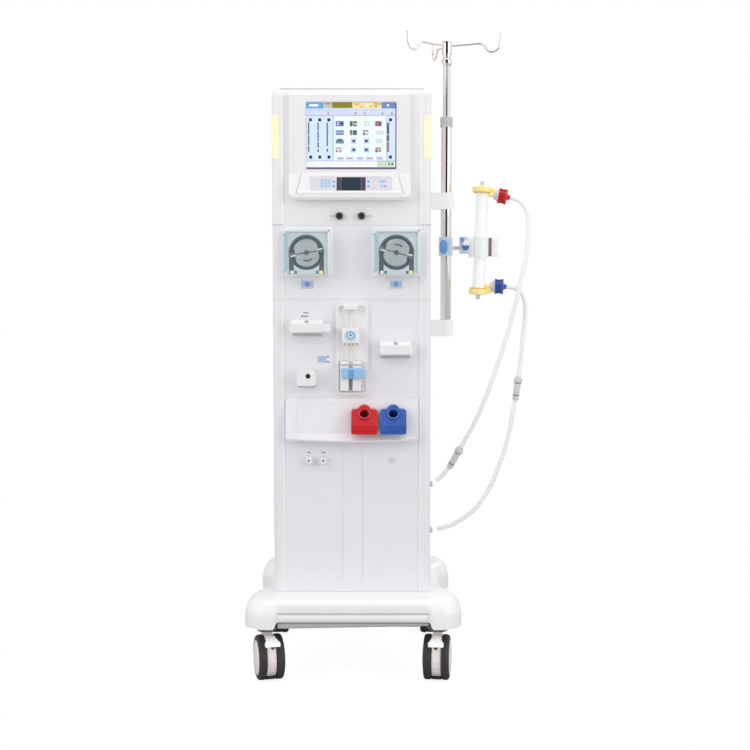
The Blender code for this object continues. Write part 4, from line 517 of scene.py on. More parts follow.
def dress_cad():
    """Materials of the CAD nodes that stay in view, and weighted normals on the head cover."""
    looks = {
        WHITE: (
            "base_cover head_cover screen_bezel syringe_housing syringe_carriage air_detector "
            "air_detector_door line_clamp line_clamp_door optical_detector sample_ports"
        ),
        # The brackets, brake pedals, clip and caster forks get glowing materials: painted light,
        # as none of them is a lamp
        GLOWING_WHITE: "pole_bracket",
        GLOWING_PEDAL: "caster_front_left_brake caster_front_right_brake",
        ICE: "pole_clamp",
        GLOWING_CLIP_WHITE: "dialyser_clip",
        KNOB: "pole_clamp_knob",
        SHELL: "left_side_cover right_side_cover rear_cover",
        PANEL: "pump_panel module_panel lower_panel connector_shelf hydraulic_unit",
        FRAME_STEEL: "chassis power_supply",
        GLOWING_FORK: (
            "caster_front_left_fork caster_front_right_fork caster_rear_left_fork "
            "caster_rear_right_fork"
        ),
        LAMP: "alarm_lamp_left alarm_lamp_right",
        DARK: "pressure_ports",
        TEAL: "pump_left_housing pump_right_housing",
        CLEAR: "pump_left_cover pump_right_cover",
        PALE_BLUE: "syringe_release_button syringe_clamp",
        BLUE: "bicarbonate_port",
        RED: "acid_port",
    }
    for material, names in looks.items():
        for name in names.split():
            node = NODES[name]
            node.data.materials.clear()
            node.data.materials.append(material)
    weights = NODES["head_cover"].modifiers.new("face_weights", "WEIGHTED_NORMAL")
    weights.keep_sharp = True


dress_cad()

# Hoses, as (x, y, z) from the connector down to the fitting, as in the part's source
RED_ROUTE = mm(391.3, 158, 1161.2, 396.4, 158, 1160.3, 410, 157.9, 1155.6, 421.5, 157.4, 1147,
    429.8, 156.6, 1135.2, 434, 155.5, 1121.4, 435.5, 153.5, 1098, 435.5, 151.5, 1060,
    432, 149.5, 1019, 424, 147, 982, 415, 145, 945, 408, 144, 907, 398, 144, 870, 381, 144, 807,
    359, 144, 738, 334, 145, 668, 308, 148, 605, 267, 153, 529, 247, 156, 493, 226, 158, 465,
    210, 158, 451, size=3)
BLUE_ROUTE = mm(385.2, 158, 940.7, 387.8, 158, 940.6, 403.3, 158.5, 937.3, 416.7, 160, 929,
    426.4, 162, 916.6, 431.3, 164, 901.5, 432.5, 166, 885, 431, 169, 850, 426.5, 170, 805,
    422, 170, 757, 414, 170, 690, 405, 170, 631, 391, 170, 555, 371, 169, 491, 346, 167, 432,
    309, 163, 378, 262, 159, 344, 235, 158, 333, 212, 158, 327.5, size=3)


def coupling(colour, points, index):
    """Inline coupling: a wide latch head at the upper end and a ribbed barrel below it."""
    along = (points[index - 6] - points[index + 6]).normalized()
    half = COUPLING_LENGTH / 2
    bore = HOSE_RADIUS + 0.0006
    profile = [(bore, -half), (0.0072, -half), (0.0078, -half + 0.001)]
    for rib in range(3):
        foot = -half + 0.002 + rib * 0.003
        profile += [(0.0073, foot), (0.0079, foot + 0.0007), (0.0079, foot + 0.0018)]
        profile += [(0.0073, foot + 0.0026)]
    profile += [(0.0079, -half + 0.0125), (0.0082, half - 0.0185), (0.0076, half - 0.0175)]
    profile += [(0.0076, half - 0.016), (0.0102, half - 0.015), (0.0106, half - 0.0135)]
    profile += [(0.0106, half - 0.008), (0.0098, half - 0.005), (0.008, half - 0.0035)]
    profile += [(0.0074, half - 0.0005), (0.0066, half), (bore, half)]
    made = piece(f"coupling_{colour}_barrel", turned(profile, points[index], along, 32), COUPLING,
        "holder", [f"coupling_{colour}"])
    ring = [(0.0077, half - 0.0178), (0.0086, half - 0.0174), (0.0086, half - 0.0156)]
    ring += [(0.0077, half - 0.0152)]
    spot = [(0.0077, -half + 0.0105), (0.0083, -half + 0.0109), (0.0083, -half + 0.013)]
    spot += [(0.0077, -half + 0.0134)]
    shape = joined(*(turned(marks, points[index], along, 32) for marks in (ring, spot)))
    piece(f"coupling_{colour}_rings", shape, COLLAR, body="holder")
    return made


def hose(colour, route):
    """One hose as two cords that meet inside its inline coupling."""
    points = smooth(route, 0.002)
    index = round(COUPLING_SHARES[colour] * (len(points) - 1))
    collar = coupling(colour, points, index)
    world = [point + OFFSET for point in points]
    runs = {"lower": (world[index:][::-1], "machine", "holder", collar),
        "upper": (world[: index + 1][::-1], "holder", "dialyser", None)}
    made = {}
    for end, (path, first, last, carried) in runs.items():
        path = path[::3] + ([] if (len(path) - 1) % 3 == 0 else [path[-1]])
        shape = moved(swept(path, HOSE_RADIUS, 20), Matrix.Translation(-OFFSET))
        tube = bare_object(f"hose_{colour}_{end}", shape, GLOWING_HOSE)
        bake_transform(tube)
        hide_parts(f"hose_{colour}")
        length = sum((after - before).length for before, after in zip(path, path[1:]))
        made[end] = (tube, path, length, carried)
    return made


# The dialyser's leaning axis
AXIS = Matrix.Translation((DIALYSER_X, POLE_Y, HOLDER_HEIGHT))
AXIS = AXIS @ Matrix.Rotation(DIALYSER_LEAN, 4, "Y")


def side_line(end):
    """Frame of a dialyser's side port: its line runs along Z from the housing's axis."""
    height, tilt = {"top": (1.1735, -8.0), "bottom": (0.943, 0.0)}[end]
    port = Matrix.Translation((0, 0, height - HOLDER_HEIGHT))
    return AXIS @ port @ Matrix.Rotation(math.radians(90 - tilt), 4, "Y")


def connector(colour, end, material):
    """Hose connector on a side port: grey collar, coloured grip with ribs, and a barb."""
    name, place = f"connector_{colour}", side_line(end)
    grey = mm(6.4, 30, 10, 30, 11.2, 31.2, 11.2, 35.2, 12.6, 35.8, 13.8, 36.8, 14.2, 38,
        14.2, 40.4, 6.4, 40.4)
    piece(f"{name}_collar", turned(grey), COUPLING, "dialyser", place=place)
    grip = mm(0, 40.5, 16, 40.5, 17.2, 41.4, 17.4, 43)
    for rib in range(4):
        foot = 0.0442 + rib * 0.003
        grip += [(0.016, foot), (0.0148, foot + 0.0006), (0.0148, foot + 0.0018)]
        grip += [(0.016, foot + 0.0024)]
    grip += mm(17.2, 57, 17.4, 59, 16.8, 61.2, 14, 62.2, 9, 62.6, 7.8, 64, 6.4, 64.5, 6.1, 69.5,
        5.6, 69.9, 0, 69.9)
    made = piece(f"{name}_grip", turned(grip), material, "dialyser", [name],
        place)
    wings = []
    for way in (-1, 1):
        side_view = mm(13, 41.2, 19, 41.2, 17, 50, 19, 61.8, 13, 61.8)
        outline = [(way * reach, along) for reach, along in side_view]
        wings.append(prism(outline, -0.0075, 0.0075, "Y", 0.0007))
    piece(f"{name}_latch", joined(*wings), material, body="dialyser", place=place)
    return made


RED_GRIP = connector("red", "top", RED)
BLUE_GRIP = connector("blue", "bottom", BLUE)
for colour, route, grip in (("red", RED_ROUTE, RED_GRIP), ("blue", BLUE_ROUTE, BLUE_GRIP)):
    for end, (tube, path, length, carried) in hose(colour, route).items():
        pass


# Screen and keys
SCREEN_FACE = -0.006
SCREEN_LEFT = -0.107
SCREEN_TOP = 1.379
GRID = 0.0002274  # one unit of the screen's drawing grid, which is 937 by 690 units


def on_screen(left, right, top, bottom, layer, radius=0.0):
    """Thin rounded rectangle on the screen, in grid units from its top left corner."""
    front = SCREEN_FACE - 0.00008 * layer
    outline = rectangle(SCREEN_LEFT + left * GRID, SCREEN_LEFT + right * GRID,
        SCREEN_TOP - bottom * GRID, SCREEN_TOP - top * GRID, radius * GRID, 3)
    return prism(outline, front, SCREEN_FACE + 0.0001, "Y")


def screen():
    """Generic monitoring page: bars, sliders and a grid of keys, with no lettering."""
    paint = {"page": (226, 236, 250), "field": (238, 249, 251), "side": (214, 232, 250),
        "band": (212, 222, 250), "sky": (112, 170, 220), "steel": (116, 146, 206),
        "navy": (52, 62, 118), "slate": (98, 104, 132), "olive": (140, 140, 48),
        "cream": (246, 228, 168), "amber": (230, 182, 82), "sage": (198, 204, 190),
        "green_key": (200, 226, 196), "green_dark": (84, 112, 92), "green_pale": (186, 212, 198),
        "violet": (118, 122, 176), "periwinkle": (134, 148, 200), "teal_grey": (124, 152, 170),
        "plum": (134, 92, 116), "mauve": (158, 132, 144), "rose": (196, 170, 176),
        "mist": (210, 226, 230), "key": (224, 222, 240), "line": (140, 152, 206),
        "white": (250, 251, 253), "edge": (104, 92, 118), "halo": (186, 208, 236)}
    ink = {name: lit(f"screen_{name}", colour) for name, colour in paint.items()}
    marks = [("page", 0, 937, 0, 690, 1, 14), ("sky", 0, 182, 4, 66, 2, 4),
        ("white", 32, 130, 22, 46, 3, 8), ("sage", 182, 272, 4, 66, 2),
        ("mauve", 196, 256, 12, 24, 3), ("amber", 196, 256, 34, 44, 3),
        ("olive", 272, 480, 2, 62, 2, 3), ("cream", 480, 782, 4, 66, 2),
        ("amber", 500, 552, 12, 30, 3), ("amber", 560, 600, 40, 54, 3),
        ("white", 620, 640, 14, 44, 3), ("amber", 660, 690, 36, 54, 3),
        ("amber", 700, 776, 10, 28, 3), ("mauve", 710, 740, 36, 50, 3),
        ("steel", 782, 937, 4, 66, 2, 6), ("white", 836, 862, 20, 46, 3, 12),
        ("band", 0, 937, 66, 136, 2), ("line", 0, 937, 136, 141, 3), ("side", 0, 280, 142, 602, 2),
        ("line", 278, 284, 142, 602, 3), ("field", 284, 834, 142, 602, 2),
        ("line", 834, 840, 142, 602, 3), ("side", 840, 926, 142, 602, 2),
        ("line", 0, 937, 602, 607, 3), ("white", 0, 926, 607, 668, 2),
        ("green_key", 737, 915, 607, 664, 3, 6), ("green_dark", 852, 868, 626, 644, 4),
        # The dark band along the page's bottom and the navy band down its right side are painted
        # shade of the screen's recess
        ("green_dark", 884, 906, 626, 644, 4), ("edge", 0, 937, 668, 690, 3, 4),
        ("navy", 927, 937, 20, 680, 4)]
    for column in (232, 512, 607, 792, 887):
        marks.append(("mauve", column - 9, column + 9, 108, 126, 3))
    for column in (40, 130, 230, 320, 412, 510, 610, 700):
        marks.append(("halo", column - 20, column + 20, 78, 88, 3))
    for column in (47, 142, 237, 875):
        for row in (182, 564):
            marks.append(("navy", column - 15, column + 15, row - 16, row + 16, 4, 3))
    for column, parts in ((28, ((210, 330), (338, 440), (450, 512))),
            (125, ((210, 290), (300, 400), (408, 470), (482, 512))),
            (220, ((210, 452), (476, 512)))):
        for top, bottom in parts:
            marks.append(("slate", column - 7, column + 7, top, bottom, 3, 4))
    marks.append(("slate", 838, 862, 212, 330, 3, 4))
    marks.append(("slate", 838, 862, 338, 398, 3, 4))
    marks.append(("mauve", 838, 862, 406, 512, 3, 4))
    marks += [("violet", 307, 392, 195, 248, 3, 6), ("halo", 322, 342, 206, 238, 4),
        ("navy", 354, 384, 212, 228, 4), ("periwinkle", 307, 392, 288, 338, 3, 6),
        ("halo", 307, 392, 308, 314, 4), ("green_dark", 454, 527, 195, 248, 3, 4),
        ("green_pale", 482, 492, 195, 248, 4), ("mist", 500, 524, 214, 232, 4),
        ("green_dark", 454, 527, 288, 338, 3, 4), ("mist", 478, 486, 288, 338, 4),
        ("mauve", 454, 470, 308, 338, 4), ("green_pale", 597, 657, 198, 212, 3),
        ("green_pale", 606, 622, 220, 248, 3), ("mist", 636, 657, 224, 244, 3),
        ("mauve", 589, 647, 288, 304, 3), ("slate", 589, 612, 312, 338, 3),
        ("rose", 620, 647, 316, 338, 3), ("plum", 717, 782, 196, 246, 3, 4),
        ("rose", 736, 746, 206, 236, 4), ("mist", 727, 807, 290, 336, 3, 6),
        ("teal_grey", 307, 392, 390, 425, 3, 6), ("teal_grey", 318, 380, 374, 400, 3, 12),
        ("mist", 722, 792, 378, 422, 3, 6), ("rose", 307, 372, 466, 482, 3),
        ("mauve", 307, 330, 490, 514, 3), ("rose", 338, 372, 492, 514, 3),
        ("mauve", 717, 777, 466, 482, 3), ("plum", 717, 744, 486, 514, 3),
        ("mauve", 752, 777, 488, 512, 3)]
    for column in (494, 625):
        for row in (399, 489):
            marks.append(("halo", column - 30, column + 30, row - 26, row + 26, 3, 8))
            marks.append(("navy", column - 13, column + 13, row - 12, row + 12, 4, 6))
    for left, right in ((322, 392), (412, 492), (522, 597), (622, 697), (727, 797)):
        marks.append(("key", left, right, 556, 598, 3, 3))
        marks.append(("line", left + 8, right - 8, 572, 582, 4))
    for column in (86, 160, 290, 380, 470, 560, 660):
        marks.append(("mist", column - 26, column + 18, 632, 640, 3))
    items = [(on_screen(*numbers), ink[name]) for name, *numbers in marks]
    prints("screen_page", items)
    NODES["touch_screen"].data.materials.clear()
    NODES["touch_screen"].data.materials.append(ink["page"])

    rim = rectangle(-0.1086, 0.1076, 1.2204, 1.3806, 0.0042, 6)
    hole = rectangle(-0.1066, 0.1057, 1.2224, 1.3786, 0.0032, 6)
    front, back = -0.0094, SCREEN_FACE - 0.0002
    shape = bmesh.new()
    loops = []
    for outline, depth in ((rim, back), (rim, front), (hole, front + 0.0008), (hole, back)):
        loops.append([shape.verts.new((x, depth, z)) for x, z in outline])
    for one, two in zip(loops, loops[1:] + loops[:1]):
        for index in range(len(one)):
            shape.faces.new((one[index - 1], one[index], two[index], two[index - 1]))
    bmesh.ops.recalc_face_normals(shape, faces=shape.faces)
    piece("screen_gasket", shape, KEYPAD)


KEY_SLOPE = (0.027 - 0.009) / (1.214 - 1.162)


def on_keys(left, right, low, high, layer, radius=0.0):
    """Thin rounded rectangle on the chin's slope, from x and height."""
    outline = rectangle(left, right, low, high, radius, 3)
    shape = prism(outline, -0.0001 - 0.00012 * layer, 0.0003, "Y")
    for vertex in shape.verts:
        vertex.co.y += -0.009 + 0.0012 - KEY_SLOPE * (1.214 - vertex.co.z)
    return shape


def keys():
    """Key strip: a film with a dark window and soft blue keys beside it."""
    window = lit("key_window", (50, 66, 76), 0.05, coat=0.8)
    window_edge = lit("key_window_edge", (78, 80, 100), 0.05)
    thread = lit("key_window_wire", (126, 98, 104), 0.05)
    items = [(on_keys(-0.097, 0.096, 1.1698, 1.2042, 1, 0.004), KEYPAD),
        (on_keys(-0.035, 0.0335, 1.1703, 1.2036, 3, 0.001), window_edge),
        (on_keys(-0.0222, 0.0206, 1.1703, 1.2036, 4, 0.0006), window),
        (on_keys(-0.0254, -0.0242, 1.1703, 1.2036, 4), thread),
        (on_keys(0.0228, 0.024, 1.1703, 1.2036, 4), thread)]
    for column in range(3):
        left = -0.0725 + column * 0.0085
        for row in range(3):
            low = 1.1795 + row * 0.007
            items.append((on_keys(left, left + 0.0068, low, low + 0.0052, 2, 0.0008), ICON_SOFT))
    for left, low in ((-0.044, 1.1795), (-0.044, 1.19), (0.0375, 1.1795), (0.0375, 1.1905)):
        items.append((on_keys(left, left + 0.005, low, low + 0.0055, 2, 0.0012), ICON_BLUE))
    for left, low, wide in ((0.066, 1.1905, 0.015), (0.069, 1.1795, 0.006)):
        items.append((on_keys(left, left + wide, low, low + 0.0062, 2, 0.001), ICON_SOFT))
    items.append((on_keys(0.0772, 0.0815, 1.1795, 1.185, 2, 0.001), ICON_BLUE))
    prints("key_strip", items)


screen()
keys()


# Roller pumps
TIP_LEAD = math.radians(6)


def pump(side, x, angle):
    """Flange, track liner, rotor face, cover frame, line clips and icon of one roller pump."""
    z = PUMP_HEIGHT
    floor = arc((x, z), RACE_RADIUS - 0.0006, 0, 180, 40)
    low = z - 0.0508
    floor += [(x - RACE_RADIUS + 0.0006, low), (x - LEG_INNER - 0.0006, low)]
    drop = math.degrees(math.acos(LEG_INNER / RACE_RADIUS))
    floor += arc((x, z), RACE_RADIUS - 0.0006, 180 + drop, 360 - drop, 24)
    floor += [(x + LEG_INNER + 0.0006, low), (x + RACE_RADIUS - 0.0006, low)]
    flange = rectangle(x - 0.0575, x + 0.061, z - 0.056, z + 0.06, 0.004)
    piece(f"pump_{side}_flange", prism(flange, FIELD - 0.0022, FIELD - 0.0003, "Y", 0.0008),
        GLOWING_WHITE)
    piece(f"pump_{side}_track_floor", prism(floor, RACE_BACK - 0.0012, RACE_BACK - 0.0002, "Y"),
        TRACK)
    lining = []
    for way in (-1, 1):
        leg = sorted((x + way * (LEG_INNER + 0.0016), x + way * (RACE_RADIUS - 0.0016)))
        outline = rectangle(*leg, low, z - 0.022, 0.001)
        lining.append((prism(outline, -0.0135, -0.0112, "Y", 0.0004), TRACK_WALL))
    rim_out = arc((x, z), RACE_RADIUS - 0.0002, -40, 220, 60)
    rim_in = arc((x, z), RACE_RADIUS - 0.0022, 220, -40, 60)
    lining.append((prism(rim_out + rim_in, PUMP_FRONT + 0.0015, RACE_BACK - 0.001, "Y"), TRACK))
    lip_out = arc((x, z), RACE_RADIUS + 0.0014, -14, 194, 56)
    lip_in = arc((x, z), RACE_RADIUS - 0.0004, 194, -14, 56)
    lining.append((prism(lip_out + lip_in, PUMP_FRONT - 0.0003, PUMP_FRONT + 0.002, "Y"),
        TRACK_WALL))
    prints(f"pump_{side}_track", lining)

    disc = []
    for step in range(96):
        turn = 2 * math.pi * step / 96
        across = ROTOR_RADIUS * math.cos(turn)
        disc.append((max(-ROTOR_FLAT, min(ROTOR_FLAT, across)), ROTOR_RADIUS * math.sin(turn)))
    place = Matrix.Translation((x, ROTOR_FRONT, z)) @ Matrix.Rotation(-angle, 4, "Y")
    rim = arc((0, 0), ROTOR_RADIUS - 0.0004, 35, 145, 30)
    rim += arc((0, 0), ROTOR_RADIUS - 0.0018, 145, 35, 30)
    parts = [(prism(disc, 0.0, 0.017, "Y", 0.0012), ROTOR)]
    for way in (-1, 1):
        tip = way * 0.0345
        parts.append((button((tip, 0, 0), (0, 1, 0), 0.0047, 0.0012, 0.0168), TRACK_WALL))
        outline = rectangle(0.0262, 0.0398, -0.0017, 0.0017, 0.001)
        lever = prism(outline, -0.0014, 0.003, "Y", 0.0005)
        turn = Matrix.Rotation(-TIP_LEAD + (math.pi if way < 0 else 0.0), 4, "Y")
        parts.append((moved(lever, turn), GLOWING_WHITE))
        guide = sorted((way * 0.0268, way * 0.0292))
        for span in ((-0.015, -0.007), (0.007, 0.015)):
            outline = rectangle(*guide, *span, 0.001)
            parts.append((prism(outline, 0.001, 0.015, "Y", 0.0004), TRACK_WALL))
    bar = rectangle(-0.0245, 0.0245, -0.0013, 0.0013, 0.0004)
    parts.append((prism(bar, -0.0008, 0.001, "Y"), ARM))
    crescent = arc((0, -0.003), 0.018, 236, 304, 20) + arc((0, 0.0012), 0.018, 304, 236, 20)
    parts.append((prism(crescent, -0.0003, 0.001, "Y"), ARM))
    ring = arc((0, 0), 0.0245, 205, 335, 30) + arc((0, 0), 0.024, 335, 205, 30)
    parts.append((prism(ring, -0.0002, 0.001, "Y"), TRACK_WALL))
    parts.append((prism(rim, -0.0002, 0.001, "Y"), TRACK_WALL))
    parts.append((button((0, 0, 0), (0, 1, 0), 0.0056, -0.003, 0.001, 0.001), HUB_BROWN))
    parts.append((button((0, 0, 0), (0, 1, 0), 0.0024, -0.0036, -0.0028, 0.0004), ARM))
    rotor = prints(f"pump_{side}_rotor_face", parts, f"{side}_rotor", place)
    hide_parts(f"pump_{side}_rotor")

    cover = f"{side}_pump_cover"
    back = PUMP_FRONT - 0.0004
    front = back - 0.004
    depth = (front - 0.0004, back - 0.0004)
    frame_parts = [
        block((x + 0.0498, x + 0.0554), depth, (z - 0.051, z + 0.0545)),
        block((x - 0.0452, x + 0.0552), depth, (z + 0.0488, z + 0.0544)),
        block((x - 0.0514, x - 0.0455), depth, (z - 0.0544, z - 0.0475)),
    ]
    piece(f"pump_{side}_cover_frame", joined(*frame_parts), FROSTED, cover)
    outline = rectangle(x - 0.0508, x - 0.0448, z - 0.043, z + 0.045)
    edge = prism(outline, front - 0.0002, front + 0.0006, "Y")
    piece(f"pump_{side}_cover_edge", edge, CYAN, cover)
    outline = rectangle(x - 0.045, x + 0.049, z - 0.0544, z - 0.0528)
    foot = prism(outline, front - 0.0003, back - 0.0004, "Y", 0.0005)
    piece(f"pump_{side}_cover_foot", foot, COUPLING, cover)

    clips = []
    for way, cap in ((-1, WHITE), (1, GLOWING_CAP)):
        spot = (x + way * 0.0345, 0, z - 0.0465)
        clips.append((button(spot, (0, 1, 0), 0.0046, PUMP_FRONT - 0.0002, -0.0125, 0.001), cap))
        slot = sorted((x + way * 0.0225, x + way * 0.0285))
        outline = rectangle(*slot, z - 0.05, z - 0.0425, 0.0012)
        clips.append((prism(outline, PUMP_FRONT - 0.0003, PUMP_FRONT + 0.001, "Y"), TRACK))
    prints(f"pump_{side}_line_clips", clips)

    icon = []
    for outline, proud, material in (
        (rectangle(x - 0.015, x + 0.015, 0.9405, 0.96, 0.002), 0.0002, ICON_BACK),
        (arc((x, 0.951), 0.0062, 0, 345, 23), 0.0004, ICON_BLUE),
        (rectangle(x - 0.012, x - 0.0085, 0.9448, 0.9558, 0.001), 0.0004, ICON_SOFT),
        (rectangle(x + 0.0085, x + 0.012, 0.9448, 0.9558, 0.001), 0.0004, ICON_SOFT),
    ):
        icon.append((on_field(outline, proud, 0.0005), material))
    prints(f"pump_{side}_icon", icon)


pump("left", -PUMP_X, math.radians(8.5))
pump("right", PUMP_X, math.radians(164.5))


# Syringe pump and line modules
SHELF_TOP = 0.677
SAMPLE_X = (-0.104, -0.069)
ROUND_MARK = (0.096, 0.526)


def modules():
    """Syringe pump's details, and the feet and marks of the line modules."""
    rod_profile = mm(0, 768.2, 6.8, 768.2, 6.8, 888.8, 0, 888.8)
    piece("syringe_rod_sleeve", turned(rod_profile, (ROD_X, 0.004, 0)), IVORY)
    face = -0.0302
    z = 0.8308
    spot, ahead = (ROD_X, 0, z), (0, 1, 0)
    ring = [(0.0062, face + 0.001), (0.0062, face - 0.0006), (0.0068, face - 0.001)]
    ring += [(0.0094, face - 0.0008), (0.0101, face), (0.0101, face + 0.001)]
    arrow = rectangle(ROD_X - 0.0007, ROD_X + 0.0007, z + 0.001, z + 0.0052)
    parts = [
        (turned(ring, spot, ahead), PALE_BLUE),
        (button(spot, ahead, 0.0058, face - 0.0002, face + 0.001, 0.0004), WHITE),
        (button(spot, ahead, 0.0026, face - 0.0007, face, 0.0004), DEEP_BLUE),
        (prism(arrow, face - 0.0005, face, "Y"), ICON_BLUE),
    ]
    prints("syringe_button_face", parts, "release_button")
    # The claws' tan is partly painted shade: the dark line below the release button
    claws = []
    for x in (-0.016, -0.006, 0.004, 0.0125):
        claws.append(block((x - 0.0022, x + 0.0022), (-0.0268, -0.0212), (0.8062, 0.8118)))
    piece("syringe_claws", joined(*claws), CLAW_TAN_AND_SHADE, "carriage")
    slit = block((ROD_X - 0.0205, ROD_X + 0.0175), (-0.0204, -0.0195), (0.7585, 0.76), 0.0002, 1)
    piece("syringe_seat_slit", slit, SEAM)
    # A grey sheet in the notch: painted shade of the groove
    notch = prism([(ROD_X - 0.0045, 0.7275), (ROD_X + 0.0045, 0.7275), (ROD_X + 0.003, 0.6985),
        (ROD_X - 0.003, 0.6985)], -0.0098, -0.009, "Y")
    piece("syringe_groove_shade", notch, GROOVE_SHADE_GREY)
    # The well's floor glows: painted light in the recessed well
    hollow = prism(rectangle(-0.0318, 0.0338, 0.692, 0.9003, 0.005), 0.0148, 0.016, "Y")
    piece("syringe_well_floor", hollow, GLOWING_WELL_WHITE)
    band = block((ROD_X - 0.015, ROD_X + 0.015), (-0.0147, -0.0135), (0.8895, 0.8908), 0.0002, 1)
    piece("syringe_head_seam", band, SEAM)
    rib = block((ROD_X - 0.005, ROD_X + 0.008), (-0.0322, -0.0305), (0.731, 0.75), 0.0006)
    piece("syringe_clamp_rib", rib, KNOB, "barrel_clamp")

    marks = []
    for low, left in ((0.8815, -0.116), (0.8735, -0.12)):
        marks.append((on_field(rectangle(left, -0.103, low, low + 0.0028, 0.0008)), MARK))
    marks.append((on_field(arc((-0.1185, 0.8748), 0.0024, 0, 330, 11), 0.0003), MARK))
    marks.append((on_field(rectangle(-0.083, -0.06, 0.7625, 0.78, 0.0015)), ICON_BACK))
    marks.append((on_field(rectangle(-0.079, -0.062, 0.7655, 0.777, 0.001), 0.0003), ICON_SOFT))
    for low in (0.764, 0.776):
        marks.append((on_field(rectangle(-0.06, -0.0545, low, low + 0.0032), 0.0003), MARK))
    prints("module_marks", marks)

    # Grey wedges under the air, line and optical blocks: painted shade below each block
    for name, left, right, low, drop, reach in (
        ("air", -0.1405, -0.0715, 0.8368, 0.01, 0.024),
        ("line", 0.069, 0.14, 0.7838, 0.01, 0.024),
        ("optical", -0.1285, -0.0885, 0.7098, 0.006, 0.015),
    ):
        side_view = [(FIELD - 0.0002, low), (FIELD - reach, low), (FIELD - 0.0002, low - drop)]
        wedge = prism(side_view, left, right, "X", 0.0006)
        piece(f"{name}_block_foot_painted_shade", wedge, SHADE_GREY_AND_COLLAR)
    for name, left, right, height in (("air", -0.112, -0.1, 0.8625), ("line", 0.099, 0.112, 0.81)):
        mark = prism(rectangle(left, right, height, height + 0.0016, 0.0006), -0.0326, -0.03, "Y")
        piece(f"{name}_block_mark", mark, SEAM)
    spot = (-0.104, 0, 0.733)
    ring = mm(6, -26.2, 7.2, -26.4, 7.6, -25.8, 7.6, -25)
    eye = [
        (turned(ring, spot, ahead), WHITE),
        (button(spot, ahead, 0.0057, -0.018, -0.013, 0.0005), BLACK),
        (button(spot, ahead, 0.003, -0.02, -0.0178, 0.0005), DARK),
    ]
    prints("optical_eye_lens", eye)


def shelf_face(height):
    """Depth of the sloping shelf's face at a height."""
    return FIELD - 0.006 - 0.024 * (SHELF_TOP - height) / 0.098


def concentrate_shelf():
    """Blank plate on the shelf, and the wells of the two wand ports."""
    plate = prism(rectangle(-0.1322, -0.0058, 0.6008, 0.6632, 0.002), -0.0004, 0.0004, "Y")
    for vertex in plate.verts:
        vertex.co.y += shelf_face(vertex.co.z) + 0.0004
    piece("shelf_blank_plate", plate, FILM)
    nose = shelf_face(0.598) - 0.034
    tilt = math.radians(48)
    axis = (0, -math.sin(tilt), math.cos(tilt))
    for name, x, material in (("acid", 0.03, RED), ("bicarbonate", 0.099, BLUE)):
        mouth = (x, nose + 0.021, 0.642)
        ring = mm(11.6, 4.8, 11.8, 5.6, 14.2, 6, 15, 5.4, 15.6, 3.6)
        piece(f"{name}_port_rim", turned(ring, mouth, axis), material)
        well = mm(11.3, 3.5, 11.3, -12.5, 9.5, -13.5, 0, -13.5)
        piece(f"{name}_port_well", turned(well, mouth, axis), WELL)
        key = block((x - 0.004, x + 0.004), (nose - 0.0006, nose + 0.001), (0.604, 0.608), 0.0005)
        piece(f"{name}_port_key", key, material)


def lower_front():
    """Faces of the sampling knobs and pressure ports, and marks on the front field."""
    front = 0.0037 - 0.016
    for number, x in enumerate(SAMPLE_X):
        ring = [(0.0034, front + 0.006), (0.0034, front - 0.0004), (0.004, front - 0.0009)]
        ring += [(0.0072, front - 0.0006), (0.0084, front + 0.0012), (0.0098, front + 0.0024)]
        ring += [(0.01, front + 0.012)]
        piece(f"sample_knob_{number + 1}", turned(ring, (x, 0, 0.528), (0, 1, 0)), WHITE)
    marks = []
    for x in SAMPLE_X:
        marks.append((on_field(rectangle(x - 0.0045, x + 0.0045, 0.5445, 0.547, 0.0008)), MARK))
    marks.append((on_field(arc(ROUND_MARK, 0.0078, 0, 352, 44)), SEAM))
    marks.append((on_field(arc(ROUND_MARK, 0.0066, 0, 350, 35), 0.0003), PANEL))
    marks.append((on_field(arc(ROUND_MARK, 0.0028, 0, 345, 23), 0.0004), SEAM))
    prints("lower_marks", marks)
    for number, x in enumerate((-0.029, 0.0235)):
        ring = mm(3.6, -3, 3.6, -8.4, 4.6, -9, 7.2, -8.8, 8.4, -7.8, 8.8, -6, 8.8, 3.6)
        piece(f"pressure_port_{number + 1}", turned(ring, (x, 0, 1.113), (0, 1, 0)), DARK)
    lines = []
    for left, right in ((-0.054, -0.04), (0.035, 0.049)):
        lines.append(on_field(rectangle(left, right, 1.1124, 1.1134)))
    piece("pressure_port_lines", joined(*lines), MARK)


def head_crown():
    """Finely rounded cap along the head's front top edge."""
    centre = (FIELD + HEAD_ROUND, HEAD_TOP - HEAD_ROUND)
    profile = arc(centre, HEAD_ROUND + 0.0006, 180, 62, 30)
    profile += arc(centre, HEAD_ROUND - 0.0012, 62, 180, 22)
    piece("head_crown", prism(profile, -0.1655, 0.1655, "X"), WHITE)
    corners = []
    for side in (-1, 1):
        path = []
        for step in range(23):
            turn = math.radians(180 - 4 * step)
            path.append((side * 0.1715, HEAD_ROUND + (HEAD_ROUND - 0.0056) * math.cos(turn),
                HEAD_TOP - HEAD_ROUND + (HEAD_ROUND - 0.0056) * math.sin(turn)))
        corners.append(swept(path, 0.006, 18))
    piece("head_crown_ends", joined(*corners), WHITE)


